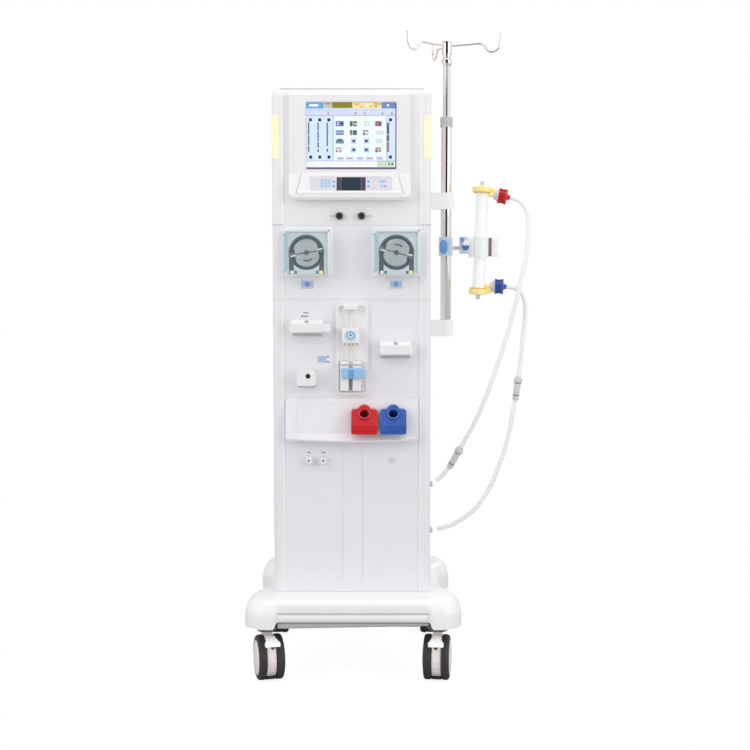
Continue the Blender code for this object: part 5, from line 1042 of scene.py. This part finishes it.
def front_trim():
    """Glowing white beads beside the front field and along the chin's lip as painted highlights;
    the chin's creases as painted shade.
    """
    beads = []
    for low, high in ((0.207, 0.678), (0.682, 0.913), (0.917, 1.09), (1.094, 1.395)):
        for x in (-0.1648, 0.1648):
            beads.append(swept([(x, 0.0024, low), (x, 0.0024, high)], 0.0026))
    piece("front_beads", joined(*beads), GLOWING_WHITE)
    lip = mm(-26.8, 1164, -28.2, 1165.5, -28.4, 1169, -27.6, 1171.2, -26.2, 1171.6, -26.2, 1164)
    # Glowing white lip along the chin's edge: a painted highlight
    piece("chin_lip", prism(lip, -0.127, 0.12, "X", 0.0005), GLOWING_WHITE)
    # Thin grey bars along the chin's folds: painted shade
    creases = []
    for top, foot in ((-0.118, -0.13), (0.1095, 0.123)):
        path = [(top, -0.0093, 1.212), ((top + foot) / 2, -0.018, 1.188), (foot, -0.0262, 1.165)]
        creases.append(swept(path, 0.0008, 10))
    piece("chin_creases", joined(*creases), SEAM)
    for side in (-1, 1):
        seam = block(sorted((side * 0.189, side * 0.165)), (-0.0004, 0.0006), (1.0912, 1.0928),
            0.0002, 1)
        piece(f"strip_seam_{'left' if side < 0 else 'right'}", seam, SEAM)


modules()
concentrate_shelf()
lower_front()
front_trim()
head_crown()


# Casters and bumper
CASTER_X = 0.209
CORNERS = (
    ("front_left", -CASTER_X, -0.002, 14.0, -1),
    ("front_right", CASTER_X, -0.002, -6.0, -1),
    ("rear_left", -CASTER_X, 0.341, 0.0, 1),
    ("rear_right", CASTER_X, 0.341, 0.0, 1),
)


def caster(corner, x, y, yaw, way):
    """Round tyres with domed hubs, collar sleeve, and the shoe under a front pedal."""
    place = Matrix.Translation((x, y, 0)) @ Matrix.Rotation(math.radians(yaw), 4, "Z")
    tyre = mm(40, 12.6, 50, 12.4, 52.4, 13, 53.8, 14.6)
    tyre += [(AXLE, 0.0172), (AXLE, 0.0214), (0.054, 0.0256), (0.0529, 0.0282)]
    tyre += mm(50.8, 30.2, 47.4, 31.2, 43, 31, 41.8, 30)
    hub = mm(42, 29.6, 41.2, 31.2, 39.2, 31.8, 37.8, 31.2, 36.6, 32, 30, 33.6, 20, 34.7, 9.2, 35,
        8.8, 34.4, 8, 34.4, 7.6, 35, 0, 35.1)
    axis = (0, way * TRAIL, AXLE)

    def twins(profile, sides):
        halves = ([(radius, side * out) for radius, out in profile] for side in (-1, 1))
        return joined(*(turned(half, axis, (1, 0, 0), sides) for half in halves))

    body = f"{corner}_wheels"
    tyres = twins(tyre, 72)
    piece(f"caster_{corner}_tyres", tyres, TYRE, body, [f"caster_{corner}_wheels"], place)
    piece(f"caster_{corner}_hubs", twins(hub, 60), GLOWING_HUB, body, place=place)
    sleeve = [(0.02, COLLAR_LOW - 0.001), (0.0232, COLLAR_LOW - 0.0012)]
    sleeve += [(0.0244, COLLAR_LOW + 0.0004), (0.0246, COLLAR_LOW + 0.003)]
    sleeve += [(0.0246, COLLAR_LOW + 0.0105), (0.0238, COLLAR_LOW + 0.0115)]
    sleeve += [(0.0238, COLLAR_LOW + 0.0125), (0.0246, COLLAR_LOW + 0.0135)]
    sleeve += [(0.0246, LIP_LOW + 0.005), (0.02, LIP_LOW + 0.0052)]
    piece(f"caster_{corner}_sleeve", turned(sleeve), COLLAR, f"{corner}_swivel",
        place=place)
    guard = []
    for radius, start, end in ((0.0538, 236, 304), (0.0476, 304, 236)):
        guard += arc((way * TRAIL, AXLE), radius, start, end, 18)
    piece(f"caster_{corner}_guard", prism(guard, -0.0118, 0.0118, "X", 0.0006), TYRE,
        f"{corner}_swivel", place=place)
    if way < 0:
        tread = prism(mm(-11.2, -62, -11.2, -70, -17.6, -86.8, -17, -93.6, 17, -93.6, 17.6, -86.8,
            11.2, -70, 11.2, -62), 0.0, 0.0012, "Z", 0.0004)
        for vertex in tread.verts:
            run = -0.056 - vertex.co.y
            vertex.co.z += 0.1086 - 0.1 * run - max(0.0, run - 0.018) * 0.28
        piece(f"caster_{corner}_tread", tread, GLOWING_PEDAL, f"{corner}_brake",
            place=place)
        shoe = prism(mm(-6.8, 94, 6.8, 94, 3.6, 88.2, 0, 85.6, -3.6, 88.2), -0.0915, -0.087, "Y",
            0.0006)
        piece(f"caster_{corner}_shoe", shoe, RUST, body=f"{corner}_brake", place=place)


for numbers in CORNERS:
    caster(*numbers)


BASE_SHIFT = 0.0035  # the photograph shows the base a little to the right of the column
BASE_CURVE = 14
BASE_LIP = 0.1365


def base_lip(x, y):
    """Underside of the base: low round each caster and higher between them."""
    near = min(math.hypot(abs(x) - CASTER_X, y - spot) for spot in (-0.042, 0.345))
    share = min(1.0, max(0.0, (near - 0.075) / 0.022))
    if y < 0.012:
        share = max(share, min(1.0, max(0.0, (0.1895 - abs(x)) / 0.008)))
    return BASE_LIP + 0.0155 * share * share * (3 - 2 * share)


def recessed(x, y, height):
    """Depth of the step between the front lobes, which fades out towards the deck."""
    across = min(1.0, max(0.0, (0.188 - abs(x)) / 0.009))
    down = min(1.0, max(0.0, (0.196 - height) / 0.022))
    return 0.0115 * across * down if y < -0.03 else 0.0


def base():
    """Smooth base cover with its front lip raised between the lobes, and the lip's band."""
    side = mm(260.5, -98, 56, 260.5, 12, 50, 222, 100, 70, 222, 262, 60, 248, 316, 50,
        248, 432, 56, size=3)
    mirrored = [(-x, y, radius) for x, y, radius in reversed(side)]
    plan = dense(fillet(side + mirrored, 0, steps=12), 0.0035)

    def ring(away, height=None):
        """The plan moved in, at one height or along the raised lip."""
        made = []
        for (x, y), spot in zip(inset(plan, away), plan):
            level = base_lip(*spot) if height is None else height
            made.append((x, y + recessed(*spot, height or LIP_LOW), level))
        return made

    rounding = []
    for step in range(BASE_CURVE + 1):
        angle = math.pi / 2 * step / BASE_CURVE
        away = 0.0004 + 0.033 * (1 - math.cos(angle))
        rounding.append((away, 0.16 + 0.044 * math.sin(angle)))
    outside = [ring(away, height) for away, height in rounding]
    inside = [ring(away + 0.004, height - 0.004) for away, height in rounding[::4]]
    shell = loft(inside[::-1] + [ring(0.0034), ring(0.0004)] + outside)
    place = Matrix.Translation((BASE_SHIFT, 0, 0))
    piece("base_shell", shell, GLOWING_WHITE, "machine", ["base_cover"], place)
    band = mm(-85, 154, -87.6, 154.4, -89.2, 157, -89.6, 162, -89.2, 167.5, -88, 169.8, -85, 170.4)
    piece("base_lip_band", prism(band, -0.177, 0.177, "X", 0.0006), GLOWING_WHITE,
        place=place)
    # The groove is a grey strip: painted shade along the step above the lip band
    groove = prism(mm(-85, 170.2, -88.4, 170.4, -88, 174, -85, 174.4), -0.178, 0.178, "X")
    piece("base_groove", groove, SHADE_GREY_AND_COLLAR, place=place)


def bumper():
    """Steel strip under the front lip, dark above and below, with its dark end caps."""
    strip = bmesh.new()
    rows = []
    steps = 24
    section = mm(146.2, 1.2, 145.6, 0, 143, -0.9, 140, -1.1, 136.6, -0.4, 135.6, 1.2)
    for height, proud in section:
        row = []
        for step in range(steps + 1):
            share = step / steps
            rise = 0.0062 * share * (0.1462 - height) / 0.01
            row.append(strip.verts.new((-0.179 + 0.362 * share, -0.0772 + proud, height + rise)))
        rows.append(row)
    for one, two in zip(rows, rows[1:]):
        for index in range(steps):
            strip.faces.new((one[index], one[index + 1], two[index + 1], two[index]))
    bmesh.ops.solidify(strip, geom=strip.faces[:], thickness=0.0008)
    bmesh.ops.recalc_face_normals(strip, faces=strip.faces)
    # The strip's material glows: painted light, not a lamp
    piece("bumper_strip", strip, GLOWING_TRIM)
    liner = prism(mm(-179.5, 133.6, 183, 140.2, 183, 153, -179.5, 153), -0.076, -0.0745, "Y")
    piece("bumper_gasket", liner, GASKET)
    ends = []
    for left, foot in ((-0.183, 0.135), (0.183, 0.14)):
        ends.append(block((left, left + 0.0065), (-0.0835, -0.056), (foot, 0.152), 0.0012))
    piece("bumper_end_caps", joined(*ends), DARK)


base()
bumper()


# Pole
def hook_path(heading):
    """Middle line of a hook: out from the hub, round the dip and up to the tip."""
    root = INNER_TOP - 0.012
    straight = HOOK_LENGTH - 0.052
    side_view = [(0.004, root), (straight / 2, root + 0.001), (straight, root + 0.002)]
    centre = (HOOK_LENGTH - 0.003 - 0.0185, 1.5125 + 0.0185)
    side_view += arc(centre, 0.0185, 195, 339, 8)
    side_view += [(HOOK_LENGTH - 0.0012, 1.556 - 0.0155), (HOOK_LENGTH, 1.556)]
    path = []
    for reach, height in side_view:
        out = Vector((math.cos(heading), math.sin(heading))) * reach
        path.append((POLE_X + out.x, POLE_Y + out.y, height))
    return path


def pole():
    centre = (POLE_X, POLE_Y, 0)
    outer = [(0.01, 0.8225), (0.0126, 0.8225), (POLE_RADIUS, 0.8232), (POLE_RADIUS, 1.334)]
    piece("pole_tube", turned(outer, centre, sides=72), CHROME, "machine",
        ["pole_outer_tube"])
    collar = mm(13.1, 1333.6, 15, 1333.6, 15.5, 1334.2, 15.5, 1338.5)
    for rib in range(5):
        foot = 1.3395 + rib * 0.0032
        collar += [(0.015, foot), (0.0155, foot + 0.0006), (0.0155, foot + 0.002)]
        collar += [(0.015, foot + 0.0026)]
    collar += mm(15.5, 1356.2, 15, 1358, 14, 1359, 9.8, 1359)
    piece("pole_collar", turned(collar, centre), SHADE_GREY_AND_COLLAR)
    inner = mm(0, 960.5, 9.4, 960.5, 9.4, 1480.5, 10.8, 1482.5)
    for step in range(-5, 6):
        turn = math.radians(step * 12)
        inner.append((0.0135 * math.cos(turn) ** 0.5, 1.4925 + 0.0105 * math.sin(turn)))
    inner += mm(10.8, 1502.5, 9.4, 1504, 9.4, 1510, 11.8, 1510.2, 12.5, 1511, 12.5, 1524.5,
        11.9, 1525, 11.9, 1526.2, 12.5, 1526.8, 12.5, 1539.5, 11.5, 1541.8, 9, 1543, 0, 1543.1)
    shapes = [turned(inner, centre, sides=64)]
    for third in range(3):
        path = smooth(hook_path(HOOK_HEADING + third * math.radians(120)), 0.003)
        sizes = [0.0025] * (len(path) - 1) + [0.0017]
        shapes.append(swept(path, sizes, 14))
    piece("pole_upper", joined(*shapes), CHROME, "upper_pole",
        ["pole_inner_tube"])
    seams = []
    for height in (0.8178, 0.8572, 1.1328, 1.1722):
        rim = [(0.0137, height), (0.015, height - 0.0003), (0.0156, height + 0.0003),
            (0.015, height + 0.0012), (0.0137, height + 0.0014)]
        seams.append(turned(rim, centre))
    piece("bracket_rims", joined(*seams), GLOWING_WHITE)


def holder():
    """Grip ribs on the clamp's knob, and the clip's jaw, screw and handle details."""
    x, z = 0.2245, 1.0395
    ribs = []
    for rib in (x - 0.0052, x, x + 0.0052):
        high = (z - 0.0115, z + 0.0115)
        ribs.append(block((rib - 0.0016, rib + 0.0016), (0.1268, 0.1282), high, 0.0007))
    piece("knob_ribs", joined(*ribs), KNOB, "holder_knob")
    # The jaw block's grey is partly painted shade in the notch between the clip's ring and handle
    jaw = block((0.3376, 0.344), (0.1455, 0.156), (1.0165, 1.062), 0.0008)
    piece("clip_jaw", jaw, JAW_NOTCH_SHADE, "dialyser")
    handle = []
    for low, high in ((1.0158, 1.0388), (1.04, 1.0625)):
        handle.append(block((0.3462, 0.3614), (0.1455, 0.1705), (low, high), 0.0016, 3))
    piece("clip_handle", joined(*handle), GLOWING_FORK, "dialyser")
    rod_profile = mm(0, 247.5, 4.6, 247.5, 4.6, 265.5, 0, 265.5)
    piece("holder_rod_sleeve", turned(rod_profile, (0, POLE_Y, HOLDER_HEIGHT), (1, 0, 0)),
        COUPLING, "holder")
    knuckle = block((0.2655, 0.2865), (0.1425, 0.146), (1.0225, 1.0642), 0.001)
    piece("clip_knuckle", knuckle, ICE, "dialyser")
    plate = block((0.2868, 0.299), (0.144, 0.1475), (1.014, 1.06), 0.001)
    piece("clip_plate", plate, WHITE, "dialyser")
    small = button((0.2712, 0.1425, 1.058), (0, 1, 0), 0.006, -0.004, 0.0004, 0.0012)
    piece("clip_screw_small", small, KNOB, "dialyser")
    large = [button((0.28, 0.1425, 1.04), (0, 1, 0), 0.0082, -0.008, 0.0004, 0.0014),
        block((0.279, 0.281), (0.1335, 0.135), (1.034, 1.046), 0.0004)]
    piece("clip_screw_large", joined(*large), DEEP_BLUE, "dialyser")


def dialyser():
    """Clear housing with its fibre bundle, potting rings, ribbed caps and side arms."""
    place = AXIS
    low, high = DIALYSER_LOW - HOLDER_HEIGHT, DIALYSER_HIGH - HOLDER_HEIGHT
    shell = [(0.012, low + 0.0045), (DIALYSER_RADIUS, low + 0.0045)]
    shell += [(DIALYSER_RADIUS, low + 0.025), (0.0161, low + 0.027), (0.0161, high - 0.027)]
    shell += [(DIALYSER_RADIUS, high - 0.025), (DIALYSER_RADIUS, high - 0.0045)]
    shell += [(0.012, high - 0.0045)]
    piece("dialyser_housing", turned(shell, sides=64), TUBE, "dialyser",
        ["dialyser_body"], place)
    bundle = [(0, low + 0.006), (0.0138, low + 0.006), (0.0138, low + 0.02)]
    bundle += [(0.0122, low + 0.034), (0.0122, high - 0.034), (0.0138, high - 0.02)]
    bundle += [(0.0138, high - 0.006), (0, high - 0.006)]
    piece("dialyser_fibres", turned(bundle, sides=40), GLOWING_FIBRE, body="dialyser", place=place)
    for end, height, way in (("top", high, 1), ("bottom", low, -1)):
        cap = mm(16.8, -16, 20, -16, 20.6, -15, 20.6, -13.5)
        cap += [(0.024, -0.0128), (CAP_RADIUS, -0.0118)]
        for rib in range(3):
            foot = -0.0108 + rib * 0.0026
            cap += [(CAP_RADIUS, foot), (0.0236, foot + 0.0005), (0.0236, foot + 0.0012)]
            cap += [(CAP_RADIUS, foot + 0.0018)]
        cap += [(CAP_RADIUS, -0.0026), (0.0238, -0.001), (0.0222, -0.0002), (0.012, 0.0014)]
        cap += mm(7, 2.4, 0, 2.6)
        nozzle = mm(6.6, 1.8, 5.8, 3, 5, 3.6, 4.6, 8, 5, 8.4, 5, 9.6, 4.4, 10.2, 4.2, 13, 2.4, 13,
            2.2, 6, 0, 6)
        piece(f"dialyser_nozzle_{end}", turned(nozzle, (0, 0, height), (0, 0, way), 40), COUPLING,
            "dialyser", place=place)
        shape = turned(cap, (0, 0, height), (0, 0, way), 60)
        piece(f"dialyser_cap_{end}_ribbed", shape, GLOWING_CAP, "dialyser",
            [f"dialyser_cap_{end}"], place)
        ring = mm(17, -16.5, 20.4, -16.5, 21, -15.8, 21, -13.8, 17, -13.4)
        piece(f"dialyser_potting_{end}", turned(ring, (0, 0, height), (0, 0, way), 60), POTTING,
            "dialyser", place=place)
        bridge = [(0.019, 0, height - way * 0.007), (0.026, 0, height - way * 0.0072)]
        bridge += [(0.03, 0, height - way * 0.0085), (0.033, 0, height - way * 0.011)]
        piece(f"dialyser_bridge_{end}", swept(smooth(bridge, 0.002), 0.0052, 20), GLOWING_CAP,
            "dialyser", place=place)
        arm = mm(4.5, 16, 7.6, 18.5, 7.6, 24, 6.2, 26.2, 6, 30.5, 6.4, 31, 6.4, 36.5, 4, 36.8)
        piece(f"dialyser_arm_{end}", turned(arm), GLOWING_CAP, "dialyser",
            place=side_line(end))


pole()
holder()
dialyser()


# Back and sides
def back():
    """Screws of the covers, and rims and pins of the rear connections."""
    screws = []
    for x in (-0.14, 0.14):
        for z in (0.222, 0.47, 0.76, 1.075):
            screws.append(button((x, COLUMN_DEPTH, z), (0, 1, 0), 0.004, -0.0004, 0.0016, 0.0006,
                24))
    piece("rear_screws", joined(*screws), BRUSHED)
    rims = []
    for x in (-0.07, -0.02):
        profile = mm(12, 2, 14.6, 2.4, 15, 4, 14.6, 5.6, 12.2, 6.4)
        rims.append(turned(profile, (x, COLUMN_DEPTH, 0.335), (0, 1, 0)))
        barb = mm(8.1, 12, 8.8, 15, 8.1, 16, 8.8, 19, 8.1, 20, 8.6, 22.5, 7.8, 24.1, 5, 24.1)
        rims.append(turned(barb, (x, COLUMN_DEPTH, 0.335), (0, 1, 0)))
    piece("rear_spigots", joined(*rims), BRUSHED)
    pins = []
    for x in (0.0505, 0.058, 0.0655):
        pins.append(block((x - 0.001, x + 0.001), (0.401, 0.4065), (0.3325, 0.3395), 0.0003, 1))
    piece("mains_pins", joined(*pins), BRUSHED)
    well = prism(rectangle(0.0425, 0.0735, 0.3225, 0.3495, 0.0038), 0.3996, 0.4006, "Y")
    piece("mains_well", well, BLACK)
    fittings = []
    for height in (0.443, 0.325):
        ring = mm(9.2, 0.2, 10.4, 1, 10.6, 3, 9.4, 4.4)
        fittings.append(turned(ring, (HALF, POLE_Y, height), (1, 0, 0)))
        nose = mm(7.1, 6, 7.9, 6.4, 7.9, 11.2, 6.2, 12.1)
        fittings.append(turned(nose, (HALF, POLE_Y, height), (1, 0, 0)))
    piece("side_fitting_rings", joined(*fittings), COUPLING)
    handles = []
    for side in (-1, 1):
        outline = rectangle(0.25, 0.33, 0.96, 0.99, 0.01, 6)
        reach = sorted((side * (HALF - 0.0005), side * (HALF + 0.0012)))
        handles.append(prism(outline, *reach, "X", 0.0006))
    piece("side_grip_plates", joined(*handles), PANEL)


back()


# Floor, backdrop and light
# What shiny surfaces reflect of the room: degrees round from the camera's side, and colour
ROOM = (
    (-180, (0.42, 0.38, 0.36)),
    (-150, (0.8, 0.74, 0.7)),
    (-58, (0.86, 0.79, 0.75)),
    (-46, (0.06, 0.042, 0.035)),
    (20, (0.04, 0.03, 0.026)),
    (30, (1.0, 1.0, 1.0)),
    (122, (1.0, 1.0, 1.0)),
    (132, (0.4, 0.37, 0.36)),
    (150, (0.46, 0.43, 0.42)),
    (162, (0.95, 0.94, 0.94)),
    (180, (0.42, 0.38, 0.36)),
)


def studio():
    """White room with a reflected surround, a floor that only keeps a soft shadow, and lamps."""
    scene = bpy.context.scene
    world = bpy.data.worlds.new("studio")
    scene.world = world
    world.use_nodes = True
    tree = world.node_tree
    tree.nodes.clear()
    out = node_of(tree, "ShaderNodeOutputWorld")
    plain = node_of(tree, "ShaderNodeBackground", Strength=1.0)
    plain.inputs["Color"].default_value = (1.0, 1.0, 1.0, 1.0)
    light = node_of(tree, "ShaderNodeBackground", Strength=0.7)
    light.inputs["Color"].default_value = (1.0, 0.995, 1.0, 1.0)
    path = node_of(tree, "ShaderNodeLightPath")
    where = node_of(tree, "ShaderNodeTexCoord")
    parts = node_of(tree, "ShaderNodeSeparateXYZ")
    back = node_of(tree, "ShaderNodeMath", operation="MULTIPLY")
    back.inputs[1].default_value = -1.0
    turn = node_of(tree, "ShaderNodeMath", operation="ARCTAN2")
    reach = node_of(tree, "ShaderNodeMapRange")
    reach.inputs["From Min"].default_value = -math.pi
    reach.inputs["From Max"].default_value = math.pi
    bands = node_of(tree, "ShaderNodeValToRGB")
    room = node_of(tree, "ShaderNodeBackground", Strength=1.0)
    ramp = bands.color_ramp
    for _ in range(len(ROOM) - 2):
        ramp.elements.new(0.5)
    for element, (angle, colour) in zip(ramp.elements, ROOM):
        element.position = angle / 360 + 0.5
        element.color = (*colour, 1.0)
    shine = node_of(tree, "ShaderNodeMixShader")
    mix = node_of(tree, "ShaderNodeMixShader")
    wire(tree, (where, "Generated", parts, 0), (parts, "Y", back, 0), (parts, "X", turn, 0),
        (back, 0, turn, 1), (turn, 0, reach, "Value"), (reach, "Result", bands, 0),
        (bands, "Color", room, "Color"), (path, "Is Glossy Ray", shine, 0), (light, 0, shine, 1),
        (room, 0, shine, 2), (path, "Is Camera Ray", mix, 0), (shine, 0, mix, 1),
        (plain, 0, mix, 2), (mix, 0, out, 0))

    floor_shape = bmesh.new()
    bmesh.ops.create_circle(floor_shape, cap_ends=True, segments=96, radius=3.0)
    mesh = bpy.data.meshes.new("floor")
    floor_shape.to_mesh(mesh)
    floor_shape.free()
    floor = bpy.data.objects.new("floor", mesh)
    floor.location = (0, 0, -0.0004)
    scene.collection.objects.link(floor)
    ground = bpy.data.materials.new("floor_white")
    ground.use_nodes = True
    tree = ground.node_tree
    tree.nodes.clear()
    out = node_of(tree, "ShaderNodeOutputMaterial")
    matte = node_of(tree, "ShaderNodeBsdfDiffuse")
    matte.inputs["Color"].default_value = (0.26, 0.26, 0.262, 1.0)
    glow = node_of(tree, "ShaderNodeEmission", Strength=0.885)
    both = node_of(tree, "ShaderNodeAddShader")
    pure = node_of(tree, "ShaderNodeEmission", Strength=1.0)
    spot = node_of(tree, "ShaderNodeTexCoord")
    size = node_of(tree, "ShaderNodeVectorMath", operation="LENGTH")
    fade = node_of(tree, "ShaderNodeMapRange", interpolation_type="SMOOTHSTEP")
    fade.inputs["From Min"].default_value = 0.3
    fade.inputs["From Max"].default_value = 0.95
    shown = node_of(tree, "ShaderNodeMixShader")
    bounce = node_of(tree, "ShaderNodeBsdfDiffuse")
    bounce.inputs["Color"].default_value = (0.52, 0.52, 0.52, 1.0)
    path = node_of(tree, "ShaderNodeLightPath")
    final = node_of(tree, "ShaderNodeMixShader")
    wire(tree, (matte, 0, both, 0), (glow, 0, both, 1), (spot, "Object", size, 0),
        (size, "Value", fade, "Value"), (fade, "Result", shown, 0), (both, 0, shown, 1),
        (pure, 0, shown, 2), (path, "Is Camera Ray", final, 0), (bounce, 0, final, 1),
        (shown, 0, final, 2), (final, 0, out, 0))
    floor.data.materials.append(ground)

    for name, place, size_x, size_y, power in (
        ("softbox_left", (-2.3, -2.4, 1.9), 1.6, 2.4, 24.0),
        ("softbox_right", (2.5, -2.2, 1.7), 1.4, 2.4, 25.0),
        ("softbox_top", (0.0, -0.6, 3.4), 2.4, 1.8, 15.0),
        ("softbox_back", (0.6, 2.8, 2.2), 2.2, 1.8, 16.0),
    ):
        data = bpy.data.lights.new(name, "AREA")
        data.shape = "RECTANGLE"
        data.size = size_x
        data.size_y = size_y
        data.energy = power
        lamp = bpy.data.objects.new(name, data)
        lamp.location = place
        aim = Vector((0, 0, 0.8)) - Vector(place)
        lamp.rotation_euler = aim.to_track_quat("-Z", "Y").to_euler()
        scene.collection.objects.link(lamp)


studio()

bpy.context.view_layer.update()
